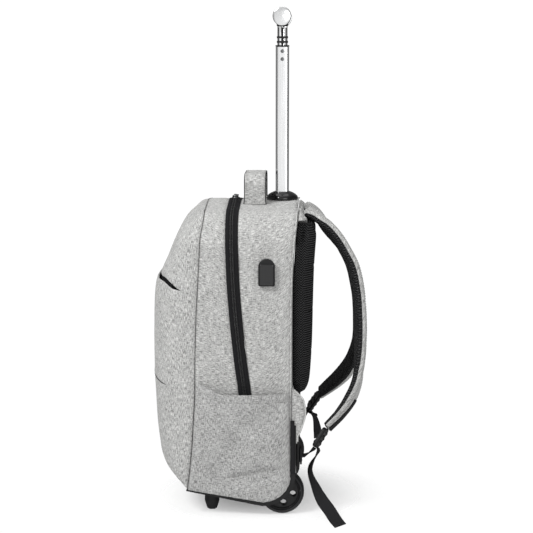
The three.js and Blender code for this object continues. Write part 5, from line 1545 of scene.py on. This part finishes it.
leftStrap = np.array([
    [0.972, 0.07, 0.36, 0.9, 0.5, 0], [0.976, 0.165, 0.37, 0.95, 0.6, 0],
    [0.968, 0.23, 0.385, 1, 0.75, 0],
    [0.948, 0.318, 0.4, 1, 0.95, 0], [0.906, 0.446, 0.415, 1, 1, 0], [0.871, 0.59, 0.44, 1, 1, 1],
    [0.835, 0.728, 0.465, 1, 1, 2], [0.794, 0.837, 0.49, 1, 1, 2], [0.729, 0.923, 0.52, 1, 1, 2],
    [0.648, 0.97, 0.57, 1, 1, 1], [0.566, 0.989, 0.625, 1, 1, 0], [0.48, 0.98, 0.67, 1, 1, -2],
    [0.426, 0.924, 0.71, 0.96, 1, -7], [0.383, 0.819, 0.745, 0.88, 0.95, -12],
    [0.342, 0.657, 0.78, 0.74, 0.85, -15],
    [0.308, 0.485, 0.815, 0.6, 0.7, -16], [0.286, 0.37, 0.84, 0.5, 0.6, -16]])
rightTail = np.array([  # height, back, side, face
    [0.146, 0.195, 0.88, 20], [0.09, 0.289, 0.95, 45], [0.058, 0.379, 1.03, 58],
    [0.035, 0.487, 1.14, 64], [0.016, 0.58, 1.28, 68], [0.007, 0.648, 1.38, 72]])
leftTail = np.array([[0.198, 0.275, 0.845, 15], [0.151, 0.322, 0.85, 40], [0.119, 0.337, 0.855, 45]])
rootY = float(backFaceAt(np.array([float(bag["height"])]))[0])


# Rows of shares turned into places: the half width, the reach behind the yoke, the height
def placed(rows, side):
    return np.stack([side * halfWidth * rows[:, 2], rootY + strap["reach"] * rows[:, 1],
                     bag["height"] * rows[:, 0]], 1)


# Places along a strap: the curve's direction, its level side turned by the row's angle, and
# their cross
def stationsAlong(rows, side, t):
    centre, ahead = curveAlong(placed(rows, side), t), slopeAlong(placed(rows, side), t)
    sideways = unit(axisX - ahead * ahead[:, :1])
    out = unit(np.cross(sideways, ahead))
    place = t * (len(rows) - 1)
    column = {key: np.interp(place, np.arange(len(rows)), rows[:, k]) for k,
              key in enumerate(strapKeys)}
    kernel = np.ones(9) / 9
    for key in ("wide", "thick", "turn"):
        if len(t) > 20:
            ends = np.concatenate([np.full(4, column[key][0]), column[key],
                                   np.full(4, column[key][-1])])
            column[key] = np.convolve(ends, kernel, "valid")
    turn = np.radians(column["turn"])[:, None]
    wide = sideways * side * np.cos(turn) + out * np.sin(turn)
    thick = unit(np.cross(wide, ahead)) * side
    return centre, ahead, wide, thick, column


# Half of a strap: flat where the two halves meet, crowned outside with a seam near each edge
def strapHalf(stations, outward, seed, seam):
    centre, _, wide, thick, column = stations
    count = strap["columns"]
    a = np.cos(np.linspace(0, math.pi, count))
    crown = (1 - np.abs(a) ** 7) ** 0.45
    half = strap["thickness"] / 2 * column["thick"][:, None]
    width = strap["width"] / 2 * column["wide"][:, None]
    edge = width * (1 - np.abs(a))[None]
    groove = seam * np.exp(-((edge - 5.2) / 1.3) ** 2)
    surface = carried(centre, wide, thick, width * a[None],
                      outward * (0.15 + half * crown[None] - groove))
    folds = ripple(surface, 42, seed) * crown[None] * 0.5
    surface = surface + folds[..., None] * (thick * outward)[:, None]
    flat = carried(centre, wide, thick, width * a[None, ::-1] * 0.995,
                   np.full((1, count), outward * 0.15))
    return np.concatenate([surface, flat[:, 1:-1]], axis=1)


# Flat webbing: a boxy section along a curve, its wide side turned square to the curve
def ribbon(points, wides, steps):
    t = np.linspace(0, 1, steps)
    centre, ahead = curveAlong(points, t), slopeAlong(points, t)
    place = t * (len(wides) - 1)
    wide = np.stack([np.interp(place, np.arange(len(wides)), np.array(wides)[:, k]) for k in range(3)],
                    1)
    wide = unit(wide - ahead * np.sum(wide * ahead, axis=1, keepdims=True))
    thick = unit(np.cross(wide, ahead))
    a, b = boxySection(40, 7)
    return carried(centre, wide, thick, webbing["width"] / 2 * a, webbing["thickness"] / 2 * b), centre


webbing = {"width": 20, "thickness": 2, "anchorHeight": 97, "anchorPlate": 26}
lock = {"length": 36, "width": 27, "thickness": 6.5, "bar": 7, "droop": 0.3, "ridges": (-9.5, 0, 9.5)}


# The two halves of a strap with their threads, patch, lock, lower webbing and free end
def buildStraps(rows, tailRows, side, name):
    t = np.linspace(0, 1, strap["steps"])
    stations = stationsAlong(rows, side, t)
    outer = strapHalf(stations, 1, 41 + side, 0.9)
    inner = strapHalf(stations, -1, 45 + side, 0.5)
    piece = makePiece("strap_cloth_" + name, [loftShell(outer)], finishes["cloth"], "strap_" + name,
                      sharp=50)
    piece = makePiece("strap_mesh_" + name, [loftShell(inner)], finishes["meshSide"],
                      "strap_pad_" + name, sharp=50)
    centre, _, wide, thick, column = stations
    threads = []
    for sign in (-1, 1):
        offset = sign * (strap["width"] / 2 * column["wide"] - 5.2)
        height = strap["thickness"] / 2 * column["thick"] - 0.5
        line = centre + wide * offset[:, None] + thick * height[:, None]
        threads += stitches(line[3:-3], thick[3:-3])
    makePiece("strap_thread_" + name, threads, finishes["thread"])

    # Webbing patch over the tip
    tip = stationsAlong(rows, side, np.linspace(0.86, 1.0, 30))
    lift = strap["thickness"] / 2 * tip[4]["thick"] + 0.6 + webbing["thickness"] / 2
    a, b = boxySection(40, 7)
    patch = carried(tip[0] + tip[3] * lift[:, None], tip[2], tip[3], webbing["width"] / 2 * a,
                    webbing["thickness"] / 2 * b)
    makePiece("patch_" + name, [loftShell(patch)], finishes["webbing"], "strap_patch_" + name)

    # The lock lies in the plane of the strap's end
    two = curveAlong(placed(rows, side), np.array([1 - 1 / 22, 1.0]))
    end = stationsAlong(rows, side, np.array([1.0]))
    down = unit(two[1] - two[0])
    down = unit(lerp(down, -axisZ, lock["droop"]))
    across = unit(np.cross(down, unit(np.cross(end[2][0], down))))
    out = unit(np.cross(end[2][0], down))
    middle = two[1] + down * (lock["length"] / 2 + webbing["thickness"])
    outline = roundedOutline(lock["width"] - lock["bar"] + 0.6, lock["length"] - lock["bar"] + 0.4, 3,
                             8)
    ring = middle + outline[:, :1] * across + outline[:, 1:] * down
    ringAhead = unit(np.roll(ring, -1, 0) - np.roll(ring, 1, 0))
    sideways = np.cross(ringAhead, out)
    a, b = boxySection(16, 2.6)
    shells = [loftShell(carried(ring, sideways, np.tile(out, (len(ring), 1)),
                                (lock["bar"] / 2 - 0.3) * a,
                                lock["thickness"] / 2 * b), wrapPath=True)]
    for drop in lock["ridges"]:
        bar = middle + down * drop + np.linspace(-1, 1, 12)[:, None] * (lock["width"] / 2 - 2) * across
        shells.append(loftShell(carried(bar, np.tile(down, (12, 1)), np.tile(out, (12, 1)),
                                        lock["bar"] / 2 * a,
                                        (lock["thickness"] / 2 + 0.9) * b)))
    makePiece("lock_" + name, shells, finishes["plastic"], "ladder_lock_" + name)

    # Lower webbing from its anchor plate on the rail to the lock
    towards = across * np.sign(across[0])
    foot = middle + down * (lock["length"] / 2 + 0.3)
    anchorY = kickBack + base["railProud"] + 0.3
    plate = roundedOutline(webbing["width"], webbing["anchorPlate"], 2)
    place = np.array([side * base["railX"], anchorY, webbing["anchorHeight"]])
    shells = [plateShell(plate, webbing["thickness"] + 1, 0.8, place, axisX, axisZ, axisY)]
    for level in (-8, 8):
        head = rounded([[0.1, 0], [2.6, 0], [2.3, 0.7], [0.1, 1.0]], 0.4)
        spot = place + axisZ * level + axisY * (webbing["thickness"] + 0.7)
        shells.append(revolved(head, spot, axisY, 24))
    makePiece("anchor_" + name, shells, finishes["webbing"], "webbing_anchor_" + name)
    start = place + axisY * (webbing["thickness"] + 1 + bag["seamGap"])
    leave = start + axisY * webbing["thickness"] * 2
    turn = foot + down * webbing["thickness"] * 2
    rings, _ = ribbon([start, leave, turn, foot], [axisX, axisX, towards, towards], 60)
    makePiece("webbing_" + name, [loftShell(rings)], finishes["webbing"], "lower_webbing_" + name)

    # Free end: out of the lock and down
    outward = np.sign(out[1]) or 1
    offset = lock["thickness"] / 2 + 0.3 + webbing["thickness"] / 2

    def onLock(drop, lift):
        return middle + down * (lock["length"] / 2 + drop) + out * outward * (offset + lift)
    leaving = [onLock(-lock["bar"] / 3, 0.3), onLock(webbing["thickness"], webbing["thickness"] * 2)]
    face = np.radians(tailRows[:, 3])
    wides = [towards, towards] + [np.array([math.cos(f), side * math.sin(f), 0]) for f in face]
    rings, path = ribbon(leaving + list(placed(tailRows, side)), wides, 110)
    tail = makePiece("free_end_" + name, [loftShell(rings)], finishes["webbing"], "tail_" + name)
    length = lengthsAlong(path[:, None], 0)[-1, 0] / 1000
    print("strap", name, "free end", round(length * 1000), "mm")


# Side port
port = {"y": -37.8, "z": 398, "width": 26.5, "length": 44, "thickness": 4, "coverWidth": 22,
        "coverLength": 33,
        "coverThickness": 3}


# Port: a plate with a half circle above and two small quarter circles below, and its lid
def buildPort():
    low = port["z"] - port["length"] / 2
    spots = low + port["length"] * np.array([0, 0.25, 0.5])
    x = float(halfWidthAt(spots, port["y"] - port["width"] / 2).max())
    r = port["width"] / 2
    arch = np.linspace(0, math.pi, 40)
    upper = np.stack([r * np.cos(arch), port["length"] - r + r * np.sin(arch)], 1)
    corner = np.linspace(0, math.pi / 2, 8)
    left = np.stack([-r + 3 - 3 * np.cos(corner), 3 - 3 * np.sin(corner)], 1)
    right = np.stack([r - 3 + 3 * np.sin(corner), 3 - 3 * np.cos(corner)], 1)
    outline = evened(np.concatenate([upper, left, right]), 120)
    place = np.array([x + 0.6, port["y"], low])
    shells = [plateShell(outline, port["thickness"], 1.3, place, axisY, axisZ, axisX, 6)]
    makePiece("port_frame", shells, finishes["plastic"], "port_housing")
    coverPlace = place + axisX * (port["thickness"] + 0.3) + axisZ * (2.5 + port["coverLength"] / 2)
    cover = roundedOutline(port["coverWidth"], port["coverLength"], 3)
    shells = [plateShell(cover, port["coverThickness"], 1.2, coverPlace, axisY, axisZ, axisX, 6)]
    tab = plateShell(roundedOutline(9, 2.4, 1.1), 0.7, 0.3,
                     coverPlace + axisX * (port["coverThickness"] - 0.1) - axisZ * 13.5, axisY, axisZ,
                     axisX)
    makePiece("port_lid", shells + [tab], finishes["gloss"], "port_cover")
    seam = roundedOutline(port["width"] + 13, port["length"] + 13, 9, 16)
    line = np.stack([0 * seam[:, 0], port["y"] + seam[:, 0], port["z"] + seam[:, 1]], 1)
    line = np.vstack([line, line[:1]])
    line[:, 0] = halfWidthAt(line[:, 2], line[:, 1]) + 0.5
    makePiece("port_thread", stitches(line, np.tile(axisX, (len(line), 1)), thickness=0.45),
              finishes["thread"])


buildFront()
buildGusset()
buildSlider()
print("body cloth done")
buildBackPanel()
buildPad()
buildYoke()
print("back done")
buildBase()
buildHandle()
buildCarry()
buildPort()
print("hard pieces done")
for side, name in ((1, "right"), (-1, "left")):
    buildPocket(side, name)
    buildWing(side, name)
    buildWheel(side, name)
    buildStraps(rightStrap if side > 0 else leftStrap, rightTail if side > 0 else leftTail, side, name)
print("sides done")

# Floor, light and camera
studio = {"elevation": 8.0, "yaw": -1.5, "distance": 2.5, "focal": 1486.4, "image": 533,
          "targetHeight": 0.38586,
          "targetBehind": -0.0263, "world": 1.02, "ambient": 0.62,
          "lights": [  # name, place, target, width, watts
              ("key", (1.9, -1.7, 2.9), (0, 0, 0.3), 1.2, 92),
              ("fill", (3.0, 1.3, 1.0), (0, 0, 0.3), 1.8, 20),
              ("top", (-0.4, 0, 3.4), (0, 0, 0), 2.6, 16)]}


# Floor: flat rings round the middle, which fade out by an eased step of the distance
def addFloor():
    angle = np.arange(96) / 96 * 2 * math.pi
    radii = np.array([0.02, 0.5, 1.0, 2.0, 6.0, 14.0])
    rings = np.stack([radii[:, None] * np.cos(angle), radii[:, None] * np.sin(angle),
                      np.full((6, 96), -0.0004)], -1)
    shell = gridShell(rings * 1000, wrapColumns=True)
    mesh = bpy.data.meshes.new("floor")
    quads = shell["faces"][0][:, ::-1]
    mesh.from_pydata(rings.reshape(-1, 3).tolist(), [], [list(range(96))[::-1]] + quads.tolist())
    mesh.update()
    floor = bpy.data.objects.new("floor", mesh)
    bpy.context.scene.collection.objects.link(floor)
    made = newMaterial("pale_floor", "floor", 0.9)
    speckle = noiseOf(made["tree"], surfaceVector(made, "Object"), 3.0, 3.0)
    colour = blended(made["tree"], speckle, (0.96, 0.96, 0.96, 1), (0.975, 0.975, 0.975, 1))
    connect(made["tree"], colour, made["shader"].inputs["Base Color"])
    far = made["tree"].nodes.new("ShaderNodeVectorMath")
    far.operation = "LENGTH"
    connect(made["tree"], surfaceVector(made, "Object"), far.inputs[0])
    alpha = ranged(made["tree"], far.outputs["Value"], 0.03, 0.25, 0.8, 0)
    connect(made["tree"], alpha, made["shader"].inputs["Alpha"])
    made["shader"].inputs["Specular IOR Level"].default_value = 0.1
    mesh.materials.append(made["material"])


# A round lamp turned to its target
def addLight(name, place, target, size, power):
    data = bpy.data.lights.new(name, "AREA")
    data.shape, data.size, data.energy = "DISK", size, power
    lamp = bpy.data.objects.new(name, data)
    bpy.context.scene.collection.objects.link(lamp)
    lamp.location = place
    aim(lamp, np.array(place, float), np.array(target, float))


# Turns an object's -Z to a target: its axes are the sight line, its level side and their cross
def aim(thing, place, target):
    backward = unit(place - target)
    right = unit(np.cross(axisZ, backward))
    up = np.cross(backward, right)
    turn = np.stack([right, up, backward], 1)
    matrix = np.eye(4)
    matrix[:3, :3] = turn
    matrix[:3, 3] = place
    thing.matrix_world = Matrix(matrix.tolist())


# The camera stands at a distance from its target, raised and turned by two angles
def addCamera():
    tilt, yaw = math.radians(studio["elevation"]), math.radians(studio["yaw"])
    target = np.array([poleAxis[0], poleAxis[1] + studio["targetBehind"], studio["targetHeight"]])
    away = np.array([math.cos(tilt) * math.cos(yaw), -math.cos(tilt) * math.sin(yaw), math.sin(tilt)])
    data = bpy.data.cameras.new("view")
    data.sensor_width = 36
    data.lens = studio["focal"] / studio["image"] * 36
    camera = bpy.data.objects.new("view", data)
    bpy.context.scene.collection.objects.link(camera)
    aim(camera, target + away * studio["distance"], target)
    bpy.context.scene.camera = camera


# A white studio; glossy rays meet it dark at the two sides and behind and greyer above, so that
# bright metal gets dark edges and black pieces stay black
def addWorld():
    world = bpy.data.worlds.new("studio")
    bpy.context.scene.world = world
    world.use_nodes = True
    tree = world.node_tree
    background = tree.nodes["Background"]
    split = tree.nodes.new("ShaderNodeSeparateXYZ")
    connect(tree, tree.nodes.new("ShaderNodeTexCoord").outputs["Generated"], split.inputs[0])
    sideways = ranged(tree, calculate(tree, "ABSOLUTE", split.outputs[1]), 0.3, 0.8, 1.0, 0.26)
    behind = ranged(tree, split.outputs[0], -0.8, 0.1, 0.3, 1.0)
    above = ranged(tree, split.outputs[2], -0.3, 0.55, 1.0, 0.62)
    mask = calculate(tree, "MULTIPLY", calculate(tree, "MULTIPLY", sideways, behind), above)
    rays = tree.nodes.new("ShaderNodeLightPath").outputs
    matt = calculate(tree, "SUBTRACT", 1.0, rays["Is Glossy Ray"])
    dull = calculate(tree, "MULTIPLY", matt, studio["ambient"])
    share = calculate(tree, "MAXIMUM", calculate(tree, "MAXIMUM", mask, dull), rays["Is Camera Ray"])
    background.inputs["Color"].default_value = (1, 1, 1, 1)
    connect(tree, calculate(tree, "MULTIPLY", share, studio["world"]), background.inputs["Strength"])


addFloor()
addWorld()
for light in studio["lights"]:
    addLight(*light)
addCamera()
bpy.context.scene.view_settings.view_transform = "Standard"

print("stage done")
